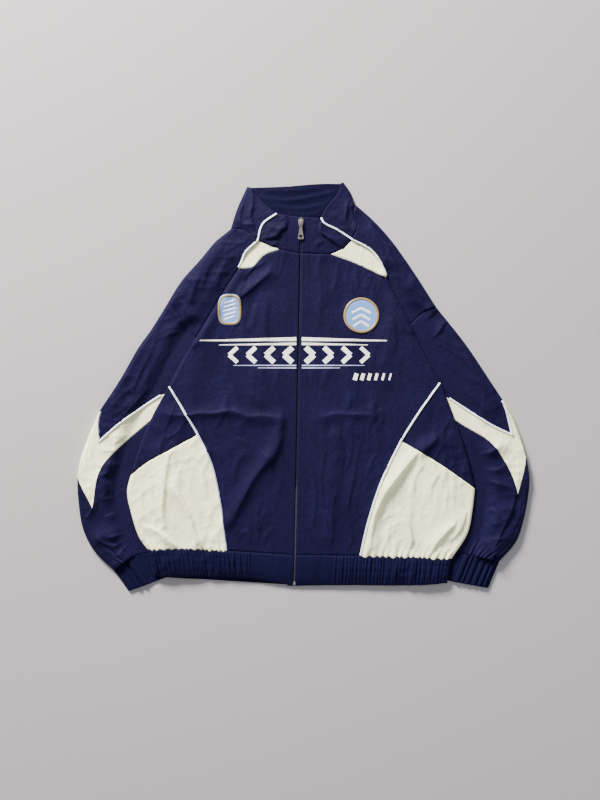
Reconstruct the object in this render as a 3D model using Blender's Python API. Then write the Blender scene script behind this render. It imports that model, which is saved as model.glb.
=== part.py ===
"""A windbreaker laid out flat with its front up, its collar towards +Y and its zip closed.

Sizes are in millimetres, and MM turns them to metres. Left and right are as seen from above.
Every sewn piece is a cloth wall over its own plan. The plan is a grid between the seams around
it, and the two pieces at a seam share the seam's points. Heights come from one formula for each
layer: the back lies on the floor, the sleeves beside it, and the body front lies over all.
"""

import math

import bmesh
import bpy
import numpy as np

MM = 0.001

CLOTH = 1.5  # thickness of each cloth wall
SEAM_GAP = 0.3  # between two pieces at a seam, and between cloth and what lies on it
NECK_CLEAR = 4.0  # how far the seams of the back's layer stay inside the fold at the neck
EDGE_CLEAR = 3.0  # how far a back piece stays inside the fold round its edge
LAYER_AIR = 1.0  # between the back and the front of the body
UNDER_AIR = 0.3  # between the layers where the sleeve lies under the body
SLEEVE_TOP = 2 * CLOTH + UNDER_AIR  # height of the flattened sleeve without folds
BODY_LIFT = SLEEVE_TOP + SEAM_GAP  # height of the body's back where a sleeve is under it
ROLL_SLEEVE = 9.0  # plan width of the rounded fold along a sleeve's and the collar's outline
ROLL_BODY = 6.0  # the same along the body's side edge
ROLL_POINT = 2.6  # width of either fold where a pointed piece begins or ends on it
ROLL_GROWTH = 70.0  # distance from such a point at which the fold has its full width
ROLL_ANGLES = (0, 30, 60)  # degrees round a fold where its points lie, from the bottom edge up
BAND_DEPTH_PUFF = 2.4  # how far the hem band stands up between its two long edges
RIB_HEIGHT = 1.3
GATHER_HEIGHT = 1.8  # of the gathers over the hem band
CUFF_GATHER_HEIGHT = 2.2
SLEEVE_PUFF = 6.5  # how far the cloth of a sleeve stands up from lying flat
BODY_PUFF = 2.2
SHOULDER_PUFF = 4.5
COLLAR_PUFF = 2.6
RIDGE_HEIGHT = 3.2  # of the body front's edge over the armhole
COLLAR_RISE = 9.0  # the stand of the collar, at COLLAR_MIDDLE, falling off over COLLAR_SPREAD
COLLAR_MIDDLE = (-10.0, 318.0)
COLLAR_SPREAD = 95.0
CURL_HEIGHT = 3.0  # of the free edge of the collar's back
ZIP_SIDE = 2.0  # from the zip's middle line to each front's edge
ZIP_FLAT = 17.0  # half width of the flat strip over the zip tapes
ZIP_RAISE = 2.0  # how far that strip stands up over the zip tapes
TAPE_WIDTH = 12.0
TAPE_THICK = 1.0
PIPING_WIDE = 2.6
PIPING_HIGH = 1.3
MIDDLE = (1.0, -0.6)  # plan middle of the whole outline, taken as the origin

NAVY = (0.013, 0.013, 0.048, 1)
CREAM = (0.80, 0.78, 0.66, 1)
PIPING_WHITE = (0.72, 0.80, 0.88, 1)
ZINC = (0.62, 0.62, 0.60, 1)
GOLD_THREAD = (0.50, 0.38, 0.14, 1)
PALE_BLUE = (0.35, 0.53, 0.75, 1)

# Where seams meet: name, (x, y) on the left, (x, y) on the right.
CORNERS = {
    "collar_tip": ((-101, 361), (73, 369)),
    "neck_side": ((-131, 284), (94, 329)),
    "neck_piping": ((-81, 262), (88, 264)),
    "neck_yoke": ((-43, 246), (49, 238)),
    "collar_piping": ((-47, 309), (32, 302)),
    "yoke_tip": ((-117, 212), (151, 196)),
    "drop_in": ((-194, 87), (194, 112)),
    "drop_out": ((-248, 145), (241, 143)),
    "underarm": ((-242, 1), (248, 8)),
    "cross_in": ((-190, -87), (177, -98)),
    "cross_out": ((-311, -161), (310, -184)),
    "hem_piping": ((-139, -296), (104, -305)),
    "hem_side": ((-281, -293), (268, -310)),
    "band_end": ((-268, -343), (260, -355)),
    "inset_top": ((-367, -44), (360, -24)),
    "inset_notch": ((-367, -100), (376, -88)),
    "inset_low": ((-407, -166), (403, -130)),
    "inset_tip": ((-378, -219), (386, -194)),
    "under_top": ((-221, 4), (223, 4)),
    "under_low": ((-225, -21), (229, -28)),
    "cuff_out": ((-342, -332), (355, -316)),
    "cuff_in": ((-257, -298), (261, -300)),
    "cuff_end_out": ((-315, -370), (335, -364)),
    "cuff_end_in": ((-229, -338), (241, -347)),
    "zip_top": ((-4, 304), (-4, 304)),
    "zip_neck": ((-4, 239), (-4, 239)),
    "zip_hem": ((-14, -304), (-14, -304)),
    "zip_end": ((-16, -360), (-16, -360)),
}

# Seams and edges: from, to, steps, points between on the left, points between on the right.
SEAMS = {
    "collar_fold": ("collar_tip", "neck_side", 4, [(-119, 321)], [(85, 352)]),
    "shoulder_fold": (
        "neck_side", "drop_out", 13,
        [(-158, 262), (-185, 230), (-220, 190)], [(124, 303), (158, 266), (196, 213)],
    ),
    "sleeve_fold": (
        "drop_out", "inset_top", 8,
        [(-275, 102), (-297, 71), (-329, 15)], [(263, 116), (295, 75), (335, 15)],
    ),
    "inset_fold": (
        "inset_top", "inset_low", 4, [(-389, -94), (-402, -132)], [(380, -58), (394, -96)],
    ),
    "forearm_fold": (
        "inset_low", "cuff_out", 10,
        [(-406, -204), (-398, -256), (-378, -296)], [(409, -168), (401, -231), (385, -280)],
    ),
    "ridge": ("yoke_tip", "drop_in", 6, [(-140, 177), (-167, 132)], [(173, 154)]),
    "armhole": ("drop_in", "underarm", 5, [(-220, 44)], [(221, 57)]),
    "side_upper": (
        "underarm", "cross_out", 7, [(-275, -60), (-297, -114)], [(275, -62), (297, -127)],
    ),
    "side_lower": (
        "cross_out", "hem_side", 7,
        [(-317, -190), (-308, -235), (-295, -273)], [(306, -220), (297, -264)],
    ),
    "band_side": ("hem_side", "band_end", 3, [], []),
    "under_drop": ("drop_in", "under_top", 8, [(-214, 37)], [(211, 48)]),
    "under_inset": ("under_top", "under_low", 4, [], []),
    "under_forearm": (
        "under_low", "cuff_in", 10,
        [(-243, -82), (-259, -159), (-261, -231)], [(241, -82), (256, -150), (261, -231)],
    ),
    "drop": ("drop_out", "drop_in", 8, [(-229, 134), (-211, 111)], [(218, 134)]),
    "neck_shoulder": ("neck_side", "neck_piping", 8, [(-104, 280)], [(91, 311), (97, 288)]),
    "neck_inset": ("neck_piping", "neck_yoke", 4, [(-63, 255)], [(72, 248)]),
    "neck_front": ("neck_yoke", "zip_neck", 4, [], []),
    "yoke_front": ("yoke_tip", "neck_yoke", 7, [(-92, 215), (-70, 236)], [(94, 222)]),
    "yoke_shoulder": (
        "neck_piping", "yoke_tip", 7, [(-104, 240), (-111, 222)], [(121, 246), (140, 222)],
    ),
    "piping_upper": ("underarm", "cross_in", 7, [(-216, -42)], [(211, -44)]),
    "piping_lower": (
        "cross_in", "hem_piping", 7, [(-167, -136), (-151, -204)], [(139, -177), (117, -246)],
    ),
    "cross": ("cross_out", "cross_in", 22, [(-284, -139), (-239, -114)], [(247, -140)]),
    "hem_sides": ("hem_side", "hem_piping", 22, [(-212, -292)], [(193, -307)]),
    "hem_front": ("hem_piping", "zip_hem", 11, [], []),
    "band_bottom": (
        "band_end", "zip_end", 67, [(-185, -343), (-86, -349)], [(193, -359), (85, -359)],
    ),
    "notch": ("inset_top", "inset_notch", 2, [(-369, -73)], [(369, -56)]),
    "inset_upper": (
        "inset_notch", "under_top", 6, [(-329, -67), (-275, -28)], [(337, -69), (283, -34)],
    ),
    "tip": ("inset_low", "inset_tip", 2, [(-393, -191)], [(395, -161)]),
    "inset_lower": (
        "inset_tip", "under_low", 6,
        [(-365, -152), (-333, -112), (-284, -69)], [(373, -154), (337, -101), (283, -66)],
    ),
    "cuff_top": ("cuff_out", "cuff_in", 8, [(-301, -305)], [(308, -305)]),
    "collar_edge": ("collar_tip", "collar_piping", 8, [(-74, 332)], [(61, 345), (41, 320)]),
    "collar_seam": ("collar_piping", "neck_piping", 4, [(-72, 291)], [(37, 293), (61, 281)]),
    "collar_front_edge": ("collar_piping", "zip_top", 8, [], []),
    "zip_collar": ("zip_top", "zip_neck", 4, [], []),
    "zip_body": ("zip_neck", "zip_hem", 25, [], []),
    "zip_band": ("zip_hem", "zip_end", 3, [], []),
}

# Folds of the body front: height, half width, points along the crest.
BODY_FOLDS = (
    (2.6, 13, [(-248, -48), (-189, -50), (-139, -44), (-92, -57), (-30, -58)]),
    (2.2, 13, [(36, -58), (85, -50), (126, -51)]),
    (4.2, 14, [(-34, -66), (-43, -96), (-74, -147), (-103, -192), (-135, -246)]),
    (3.2, 13, [(-59, 201), (-113, 161)]),
    (3.4, 12, [(-234, -177), (-202, -228), (-184, -275)]),
    (2.6, 13, [(-262, -115), (-256, -200), (-248, -275)]),
    (4.2, 13, [(238, -96), (191, -130), (151, -181), (131, -226), (124, -285)]),
    (2.6, 11, [(262, -250), (229, -285)]),
    (2.6, 11, [(182, -235), (196, -276)]),
    (2.2, 14, [(-68, 156), (-76, 60), (-74, -24)]),
    (2.2, 14, [(82, 140), (88, 60), (85, -24)]),
    (2.2, 13, [(160, 150), (150, 12)]),
    (2.4, 13, [(60, -90), (52, -190), (48, -270)]),
)

# Folds of the sleeves and shoulders: height, half width, points along the crest.
SLEEVE_FOLDS = (
    (3.4, 12, [(-350, -146), (-305, -152)]),
    (3.0, 11, [(-372, -182), (-335, -190)]),
    (5.0, 13, [(-366, -272), (-335, -262), (-305, -252)]),
    (3.4, 14, [(-293, 66), (-330, 0), (-342, -40)]),
    (3.0, 12, [(-205, 190), (-232, 150)]),
    (3.4, 13, [(-150, 246), (-185, 205), (-200, 160)]),
    (4.0, 13, [(300, -106), (325, -118), (352, -108)]),
    (3.2, 12, [(330, -168), (375, -180)]),
    (3.2, 12, [(318, -262), (345, -240), (362, -222)]),
    (3.4, 14, [(286, 66), (320, 10), (338, -34)]),
    (3.0, 12, [(200, 186), (226, 146)]),
    (3.4, 13, [(124, 280), (160, 232), (186, 180)]),
    (3.0, 12, [(370, -262), (340, -292)]),
)


def remove_everything():
    for thing in list(bpy.data.objects):
        bpy.data.objects.remove(thing, do_unlink=True)


def eased(value):
    """0 below 0, 1 above 1, and a soft S between."""
    value = np.clip(value, 0.0, 1.0)
    return value * value * (3 - 2 * value)


# ---------------------------------------------------------------- seams as curves in plan


def through(points, steps):
    """A smooth curve through the points, as steps + 1 points at even distances."""
    points = np.array(points, float) - MIDDLE
    if len(points) == 2:
        share = np.linspace(0, 1, steps + 1)[:, None]
        return points[0] * (1 - share) + points[1] * share
    ends = np.vstack([2 * points[0] - points[1], points, 2 * points[-1] - points[-2]])
    knots = np.concatenate([[0], np.cumsum(np.linalg.norm(np.diff(ends, axis=0), axis=1) ** 0.5)])
    dense = []
    for k in range(1, len(ends) - 2):
        time = np.linspace(knots[k], knots[k + 1], 40, endpoint=k == len(ends) - 3)[:, None]
        mix = lambda a, b, i, j: a * (knots[j] - time) / (knots[j] - knots[i]) + b * (
            time - knots[i]
        ) / (knots[j] - knots[i])
        one = mix(ends[k - 1], ends[k], k - 1, k)
        two = mix(ends[k], ends[k + 1], k, k + 1)
        three = mix(ends[k + 1], ends[k + 2], k + 1, k + 2)
        dense.append(mix(mix(one, two, k - 1, k + 1), mix(two, three, k, k + 2), k, k + 1))
    return evenly(np.vstack(dense), steps)


def evenly(line, steps):
    """The same line as steps + 1 points at even distances."""
    length = np.concatenate([[0], np.cumsum(np.linalg.norm(np.diff(line, axis=0), axis=1))])
    wanted = np.linspace(0, length[-1], steps + 1)
    return np.stack([np.interp(wanted, length, line[:, axis]) for axis in (0, 1)], axis=1)


def joined(*lines):
    return np.vstack([lines[0]] + [line[1:] for line in lines[1:]])


def inward(line, side):
    """Unit vectors across the line, pointing into the garment, for a line that runs down."""
    ahead = np.gradient(line, axis=0)
    ahead /= np.linalg.norm(ahead, axis=1)[:, None]
    return np.stack([-ahead[:, 1], ahead[:, 0]], axis=1) * (1 if side == 0 else -1)


def distance(places, line):
    """From each place to the nearest point of the line."""
    start, run = line[:-1], np.diff(line, axis=0)
    square = np.maximum((run**2).sum(axis=1), 1e-9)
    offset = places[:, None, :] - start[None]
    share = np.clip((offset * run).sum(axis=2) / square, 0, 1)
    return np.linalg.norm(offset - share[:, :, None] * run, axis=2).min(axis=1)


def inside(places, outline):
    """True for each place inside the closed outline."""
    x, y = places[:, 0][:, None], places[:, 1][:, None]
    first, last = outline, np.roll(outline, -1, axis=0)
    crosses = (first[:, 1] > y) != (last[:, 1] > y)
    rise = np.where(last[:, 1] == first[:, 1], 1.0, last[:, 1] - first[:, 1])
    where = (last[:, 0] - first[:, 0]) * (y - first[:, 1]) / rise + first[:, 0]
    return (crosses & (x < where)).sum(axis=1) % 2 == 1


def corner(name, side):
    return CORNERS[name][side]


SEAM = []
for side in (0, 1):
    SEAM.append({
        name: through([corner(row[0], side)] + row[3 + side] + [corner(row[1], side)], row[2])
        for name, row in SEAMS.items()
    })

# The outline folds are one smooth run on each side, so pieces that meet on it share directions.
FOLD_RUN = ("collar_fold", "shoulder_fold", "sleeve_fold", "inset_fold", "forearm_fold")
BODY_RUN = ("ridge", "armhole", "side_upper", "side_lower", "band_side")


def run_normals(names, side):
    """For each seam of a run, the inward directions at its points."""
    line = joined(*[SEAM[side][name] for name in names])
    across = inward(line, side)
    found, first = {}, 0
    for name in names:
        count = len(SEAM[side][name])
        found[name] = across[first : first + count]
        first += count - 1
    return found


ACROSS = [{**run_normals(FOLD_RUN, side), **run_normals(BODY_RUN, side)} for side in (0, 1)]


# ---------------------------------------------------------------- heights of the layers

# Where a sleeve lies under the body, and the whole body's plan, on each side.
HIDDEN = [
    np.vstack([
        joined(*[SEAM[side][name] for name in BODY_RUN[1:]]),
        np.array([corner("cuff_end_in", side)]) - MIDDLE,
        joined(*[SEAM[side][name] for name in ("under_drop", "under_inset", "under_forearm")])[::-1],
    ])
    for side in (0, 1)
]
BODY_SIDE = [joined(*[SEAM[side][name] for name in BODY_RUN[1:]]) for side in (0, 1)]
BODY_OUTLINE = np.vstack([BODY_SIDE[0], BODY_SIDE[1][::-1]])
RIDGE = [SEAM[side]["ridge"] for side in (0, 1)]
ZIP = joined(SEAM[0]["zip_collar"], SEAM[0]["zip_body"], SEAM[0]["zip_band"])
UNDER_CLEAR = 16.0  # plan width past the sleeve where the back stays as high as over it
UNDER_RAMP = 42.0  # plan width over which the back then comes down to the floor
FOLD_CLEAR = 20.0  # plan width beside the body's edge where the sleeve stays flat


def folds(places, table):
    """The height that the folds in a table add. A fold fades out over its end tips."""
    total = np.zeros(len(places))
    for height, half_width, points in table:
        line = through(points, 12)
        total += height * np.exp(-((distance(places, line) / half_width) ** 2))
    return total


def lift(places):
    """Height of the body back's underside: over a sleeve it lies on it, elsewhere on the floor."""
    most = np.zeros(len(places))
    for outline in HIDDEN:
        away = np.where(inside(places, outline), 0, distance(places, np.vstack([outline, outline[:1]])))
        most = np.maximum(most, 1 - eased((away - UNDER_CLEAR) / UNDER_RAMP))
    return BODY_LIFT * most


def collar_rise(places):
    away = np.linalg.norm(places - (np.array(COLLAR_MIDDLE) - MIDDLE), axis=1)
    return COLLAR_RISE * np.exp(-((away / COLLAR_SPREAD) ** 2))


def beside_zip(places):
    """1 on the flat strip over the zip tapes, 0 well away from it."""
    return 1 - eased((distance(places, ZIP) - ZIP_FLAT) / 16)


def body_height(places):
    """Top of the body front, its yoke insets and its hem band."""
    flat = beside_zip(places)
    ridge = sum(np.exp(-(((distance(places, RIDGE[s]) - 9) / 9) ** 2)) for s in (0, 1))
    relief = BODY_PUFF + folds(places, BODY_FOLDS) + RIDGE_HEIGHT * ridge
    base = lift(places) + 2 * CLOTH + LAYER_AIR
    return base + (1 - flat) * relief + flat * ZIP_RAISE + collar_rise(places)


def sleeve_height(places):
    """Top of the shoulders and sleeves. They lie flat beside the body's edge and under it."""
    edge = np.minimum(distance(places, BODY_SIDE[0]), distance(places, BODY_SIDE[1]))
    free = np.where(inside(places, BODY_OUTLINE), 0, eased((edge - FOLD_CLEAR) / 24))
    ridge = np.minimum(distance(places, RIDGE[0]), distance(places, RIDGE[1]))
    valley = eased(ridge / 26)
    down = eased((100 - places[:, 1]) / 160)
    puff = SHOULDER_PUFF + (SLEEVE_PUFF - SHOULDER_PUFF) * down
    relief = 0.7 + puff + folds(places, SLEEVE_FOLDS)
    return SLEEVE_TOP + free * (0.7 + valley * (relief - 0.7)) + collar_rise(places)


def collar_height(places):
    """Top of the collar's front and side pieces."""
    flat = beside_zip(places)
    base = 2 * CLOTH + LAYER_AIR + collar_rise(places)
    return base + (1 - flat) * COLLAR_PUFF + flat * ZIP_RAISE


# ---------------------------------------------------------------- cloth walls


def coons(top, bottom, outer, inner, shares=None):
    """Plan points of a grid between four edges, as [across, down]."""
    wide, tall = len(top), len(outer)
    u = np.linspace(0, 1, wide) if shares is None else np.array(shares)
    u = u[:, None, None]
    v = np.linspace(0, 1, tall)[None, :, None]
    sides = (1 - u) * outer[None] + u * inner[None]
    ends = (1 - v) * top[:, None] + v * bottom[:, None]
    flat = (
        (1 - u) * (1 - v) * top[0] + u * (1 - v) * top[-1]
        + (1 - u) * v * bottom[0] + u * v * bottom[-1]
    )
    return sides + ends - flat


def slope(height, places):
    """Steepness of a height formula at each place."""
    step = 0.5
    rise_x = height(places + (step, 0)) - height(places - (step, 0))
    rise_y = height(places + (0, step)) - height(places - (0, step))
    return np.hypot(rise_x, rise_y) / (2 * step)


def mitred(line, next_line):
    """For each point of an edge, the move that takes both stretches beside it in by 1."""
    ahead = np.diff(line, axis=0)
    across = np.stack([-ahead[:, 1], ahead[:, 0]], axis=1)
    across /= np.maximum(np.linalg.norm(across, axis=1), 1e-9)[:, None]
    if ((next_line - line)[1:] * across).sum() < 0:
        across = -across
    before, after = np.vstack([across[:1], across]), np.vstack([across, across[-1:]])
    square = 1 + (before * after).sum(axis=1)
    return (before + after) / np.maximum(square, 0.25)[:, None]


def drawn_in(plan, amounts):
    """How far each grid point moves so that every edge lies its own amount inside its seam.

    amounts is (top, bottom, outer, inner), and each is one number or one for each point.
    """
    move = np.zeros_like(plan)
    edges = (
        (plan[:, 0], plan[:, 1], (slice(None), 0)),
        (plan[:, -1], plan[:, -2], (slice(None), -1)),
        (plan[0], plan[1], (0, slice(None))),
        (plan[-1], plan[-2], (-1, slice(None))),
    )
    for (line, next_line, where), amount in zip(edges, amounts):
        move[where] += mitred(line, next_line) * np.broadcast_to(amount, len(line))[:, None]
    return move


def material(name, colour, roughness=0.75, metallic=0.0):
    found = bpy.data.materials.get(name)
    if found:
        return found
    found = bpy.data.materials.new(name)
    found.use_nodes = True
    shader = found.node_tree.nodes["Principled BSDF"]
    shader.inputs["Base Color"].default_value = colour
    shader.inputs["Roughness"].default_value = roughness
    shader.inputs["Metallic"].default_value = metallic
    found.diffuse_color = colour
    return found


def new_object(name, points, faces, colour, roughness=0.75, metallic=0.0, sharp=40):
    """A named object from points in millimetres. Its faces are turned to point out."""
    mesh = bpy.data.meshes.new(name)
    mesh.from_pydata([tuple(p) for p in np.asarray(points, float) * MM], [], faces)
    work = bmesh.new()
    work.from_mesh(mesh)
    bmesh.ops.recalc_face_normals(work, faces=work.faces)
    work.to_mesh(mesh)
    work.free()
    mesh.shade_smooth()
    mesh.set_sharp_from_angle(angle=math.radians(sharp))
    thing = bpy.data.objects.new(name, mesh)
    bpy.context.scene.collection.objects.link(thing)
    thing.data.materials.append(material(f"{name} finish", colour, roughness, metallic))
    return thing


def grid_faces(wide, tall, first=0, ring=False):
    """Quads of a grid of wide by tall points. A ring also joins its last column to its first."""
    faces = []
    for i in range(wide if ring else wide - 1):
        for j in range(tall - 1):
            after = (i + 1) % wide
            faces.append((
                first + i * tall + j, first + after * tall + j,
                first + after * tall + j + 1, first + i * tall + j + 1,
            ))
    return faces


def closed_wall(name, outer, inner, colour, ring=False, **finish):
    """A solid between two matching grids of points, with its open edges closed by rims."""
    wide, tall = outer.shape[:2]
    count = wide * tall
    faces = grid_faces(wide, tall, 0, ring)
    faces += [tuple(reversed(face)) for face in grid_faces(wide, tall, count, ring)]
    rims = [[i * tall for i in range(wide)], [i * tall + tall - 1 for i in range(wide)]]
    if ring:
        rims = [rim + rim[:1] for rim in rims]
    else:
        rims += [list(range(tall)), list(range(count - tall, count))]
    for rim in rims:
        faces += [(a, b, b + count, a + count) for a, b in zip(rim, rim[1:])]
    points = np.concatenate([outer.reshape(-1, 3), inner.reshape(-1, 3)])
    return new_object(name, points, faces, colour, **finish)


def panel(name, colour, height, edges, roll=None, swell=None, raised=None, gaps=None, **options):
    """One sewn piece over the grid between its seams. edges is (top, bottom, outer, inner).

    roll is (directions, widths, amounts, floors): where an amount is 1 the outer edge is a
    rounded fold that comes down to that floor, and where it is 0 the cloth goes on level.
    swell(across, down) lifts both faces, and raised(across, down) only the outer one.
    The option shares places the columns, and plumb keeps the lower face's height true.
    """
    top, bottom, outer, inner = edges
    if roll:
        directions, widths, amounts, floors = roll
        edge = outer
        outer = edge + directions * widths[:, None]
    plan = coons(top, bottom, outer, inner, options.get("shares"))
    wide, tall = plan.shape[:2]
    across, down = np.linspace(0, 1, wide)[:, None], np.linspace(0, 1, tall)[None]
    places = plan.reshape(-1, 2)
    tops = height(places).reshape(wide, tall)
    if swell:
        tops = tops + swell(across, down)
    if options.get("plumb"):
        lows = tops - CLOTH
    else:
        steep = np.minimum(slope(height, places).reshape(wide, tall), 1.2)
        lows = tops - CLOTH * np.sqrt(1 + steep**2)
    if raised:
        tops = tops + raised(across, down)
    low_plan = plan
    if roll:
        high = tops[0]
        columns, low_columns, roll_tops, roll_lows = [], [], [], []
        for angle in ROLL_ANGLES:
            out, up = 1 - math.cos(math.radians(angle)), math.sin(math.radians(angle))
            place = edge + directions * (widths * out)[:, None]
            narrow = CLOTH + (widths - CLOTH) * out
            low_out = amounts * narrow + (1 - amounts) * widths * out
            level = height(place)
            columns.append(place)
            low_columns.append(edge + directions * low_out[:, None])
            roll_tops.append(amounts * (floors + (high - floors) * up) + (1 - amounts) * level)
            low_high = floors + (high - CLOTH - floors) * up
            roll_lows.append(amounts * low_high + (1 - amounts) * (level - CLOTH))
        plan = np.concatenate([np.array(columns), plan])
        low_plan = np.concatenate([np.array(low_columns), low_plan])
        tops = np.concatenate([np.array(roll_tops), tops])
        lows = np.concatenate([np.array(roll_lows), lows])
    move = drawn_in(plan, gaps or (SEAM_GAP / 2,) * 4)
    outer_points = np.dstack([plan + move, tops])
    inner_points = np.dstack([low_plan + move, lows])
    return closed_wall(name, outer_points, inner_points, colour)


SIDE_NAMES = ("left", "right")


def rolled(directions, width, floors=0.0, amounts=None):
    """The roll of a panel along an outer edge with these inward directions."""
    count = len(directions)
    widths = np.broadcast_to(np.array(width, float), count)
    amounts = np.ones(count) if amounts is None else amounts
    return directions, widths, amounts, np.broadcast_to(np.array(floors, float), count)


def roll_widths(line, full, side, points):
    """Widths of the roll along a line: narrow near the named corners, and full away from them."""
    tips = [np.array(corner(name, side)) - MIDDLE for name in points]
    near = np.min([np.linalg.norm(line - tip, axis=1) for tip in tips], axis=0)
    return ROLL_POINT + (full - ROLL_POINT) * eased(near / ROLL_GROWTH)


def past_roll(line, direction, width):
    """A seam that begins on a rolled edge, begun where the roll ends and eased back to itself."""
    length = np.concatenate([[0], np.cumsum(np.linalg.norm(np.diff(line, axis=0), axis=1))])
    weight = np.clip(1 - length / 24, 0, 1)[:, None] ** 2
    return line + direction * width * weight


def begun_later(line, share):
    """The same line, begun a share of its first stretch later, to cut a sharp tip off."""
    return np.vstack([line[:1] * (1 - share) + line[1:2] * share, line[1:]])


def between(first, last, steps):
    share = np.linspace(0, 1, steps + 1)[:, None]
    return first * (1 - share) + last * share


def placed(line, shares):
    """Points of a line at shares of its length."""
    length = np.concatenate([[0], np.cumsum(np.linalg.norm(np.diff(line, axis=0), axis=1))])
    return np.stack([np.interp(shares, length / length[-1], line[:, a]) for a in (0, 1)], axis=1)


def gathers(count, reach, tallness):
    """Extra height of gathers that fade out a share of the piece away from its bottom edge."""
    def raised(across, down):
        crest = np.sin(math.pi * across * count) ** 2
        return tallness * crest * np.exp(-(((1 - down) / reach) ** 2))
    return raised


def cuff_gathers(across, down):
    """Puckers over the cuff, on the part of the sleeve that the body leaves free."""
    crest = np.sin(math.pi * across * 4) ** 2 * eased((0.62 - across) / 0.2)
    return CUFF_GATHER_HEIGHT * crest * np.exp(-(((1 - down) / 0.16) ** 2))


def band_swell(across, down):
    """The hem band stands up softly between its two long edges and rounds off at the lower one."""
    puff = np.sin(math.pi * np.clip(0.06 + 0.88 * down, 0, 1)) ** 0.7
    return BAND_DEPTH_PUFF * puff - 1.2 * eased((down - 0.7) / 0.3) + 0 * across


def band_ribs(count, share, along):
    """Ribs along a share of the band, from its outer end, at the shares where its columns are."""
    def raised(across, down):
        crest = np.sin(math.pi * along / share * count) ** 2 * (along < share)
        return RIB_HEIGHT * crest[:, None] * (0.5 + 0.5 * np.sin(math.pi * down))
    return raised


# ---------------------------------------------------------------- the sewn pieces

HALF = SEAM_GAP / 2


def collar_pieces(side):
    seam, across, end = SEAM[side], ACROSS[side], SIDE_NAMES[side]
    fold = across["collar_fold"]
    edges = (
        past_roll(seam["collar_edge"], fold[0], ROLL_SLEEVE),
        past_roll(seam["neck_shoulder"], fold[-1], ROLL_SLEEVE),
        seam["collar_fold"], seam["collar_seam"],
    )
    panel(f"collar_side_{end}", NAVY, collar_height, edges, rolled(fold, ROLL_SLEEVE))
    edges = (
        seam["collar_front_edge"], joined(seam["neck_inset"], seam["neck_front"]),
        seam["collar_seam"], seam["zip_collar"],
    )
    gaps = (HALF, HALF, HALF, ZIP_SIDE)
    panel(f"collar_front_{end}", NAVY, collar_height, edges, gaps=gaps)


def shoulder_and_yoke(side):
    seam, across, end = SEAM[side], ACROSS[side], SIDE_NAMES[side]
    fold = across["shoulder_fold"]
    edges = (
        past_roll(seam["neck_shoulder"], fold[0], ROLL_SLEEVE),
        past_roll(seam["drop"], fold[-1], ROLL_SLEEVE),
        seam["shoulder_fold"], joined(seam["yoke_shoulder"], seam["ridge"]),
    )
    panel(f"shoulder_{end}", NAVY, sleeve_height, edges, rolled(fold, ROLL_SLEEVE))
    outer = begun_later(seam["yoke_shoulder"][::-1], 0.5)[::-1]
    inner = begun_later(seam["yoke_front"], 0.5)[::-1]
    edges = (seam["neck_inset"], between(outer[-1], inner[-1], 4), outer, inner)
    panel(f"yoke_inset_{end}", CREAM, body_height, edges)


def front(side):
    """The front beside the zip. Its edge is a fold from the yoke to the underarm, then a seam."""
    seam = SEAM[side]
    outer = joined(*[seam[name] for name in ("ridge", "armhole", "piping_upper", "piping_lower")])
    beside = len(seam["ridge"]) - 1
    under = beside + len(seam["armhole"]) - 1
    floors = np.full(len(outer), BODY_LIFT)
    floors[:beside] = sleeve_height(outer[:beside]) - CLOTH
    amounts = (np.arange(len(outer)) < under).astype(float)
    amounts[under] = 0.6
    directions = inward(outer, side)
    edges = (
        past_roll(joined(seam["yoke_front"], seam["neck_front"]), directions[0], ROLL_BODY),
        past_roll(seam["hem_front"], directions[-1], ROLL_BODY), outer, seam["zip_body"],
    )
    roll = rolled(directions, ROLL_BODY, floors, amounts)
    gaps = (HALF, HALF, HALF, ZIP_SIDE)
    panel(f"front_{SIDE_NAMES[side]}", NAVY, body_height, edges, roll, gaps=gaps)


def side_fronts(side):
    seam, across, end = SEAM[side], ACROSS[side], SIDE_NAMES[side]
    fold = across["side_upper"]
    outer = begun_later(seam["side_upper"], 0.35)
    inner = begun_later(seam["piping_upper"], 0.5)
    cross = past_roll(seam["cross"], fold[-1], ROLL_BODY)
    fold = begun_later(fold, 0.35)
    widths = roll_widths(outer, ROLL_BODY, side, ("underarm",))
    kept = np.array([0, 1, 2, 3, 4, *range(6, len(cross), 2)])
    shares = kept / kept[-1]
    top = placed(between(outer[0] + fold[0] * widths[0], inner[0], 1), shares)
    edges = (top, cross[kept], outer, inner)
    roll = rolled(fold, widths, BODY_LIFT)
    panel(f"side_upper_{end}", NAVY, body_height, edges, roll, shares=shares)
    fold = across["side_lower"]
    hem = past_roll(seam["hem_sides"], fold[-1], ROLL_BODY)
    edges = (cross, hem, seam["side_lower"], seam["piping_lower"])
    roll = rolled(fold, ROLL_BODY, BODY_LIFT)
    raised = gathers(11, 0.16, GATHER_HEIGHT)
    panel(f"side_lower_{end}", CREAM, body_height, edges, roll, raised=raised)


# The ribbed share of the hem band from its outer end, and its ribs, on each side.
BAND_RIBS = ((0.70, 32), (0.75, 33))


def hem_band(side):
    seam, fold, end = SEAM[side], ACROSS[side]["band_side"], SIDE_NAMES[side]
    share, ribs = BAND_RIBS[side]
    along = np.concatenate([np.linspace(0, share, 2 * ribs + 1), np.linspace(share, 1, 5)[1:]])
    top = past_roll(joined(seam["hem_sides"], seam["hem_front"]), fold[0], ROLL_BODY)
    bottom = past_roll(seam["band_bottom"], fold[-1], ROLL_BODY)
    edges = (placed(top, along), placed(bottom, along), seam["band_side"], seam["zip_band"])
    panel(
        f"hem_band_{end}", NAVY, body_height, edges, rolled(fold, ROLL_BODY, BODY_LIFT),
        swell=band_swell, raised=band_ribs(ribs, share, along),
        gaps=(HALF, HALF, HALF, ZIP_SIDE), shares=along,
    )


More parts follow.
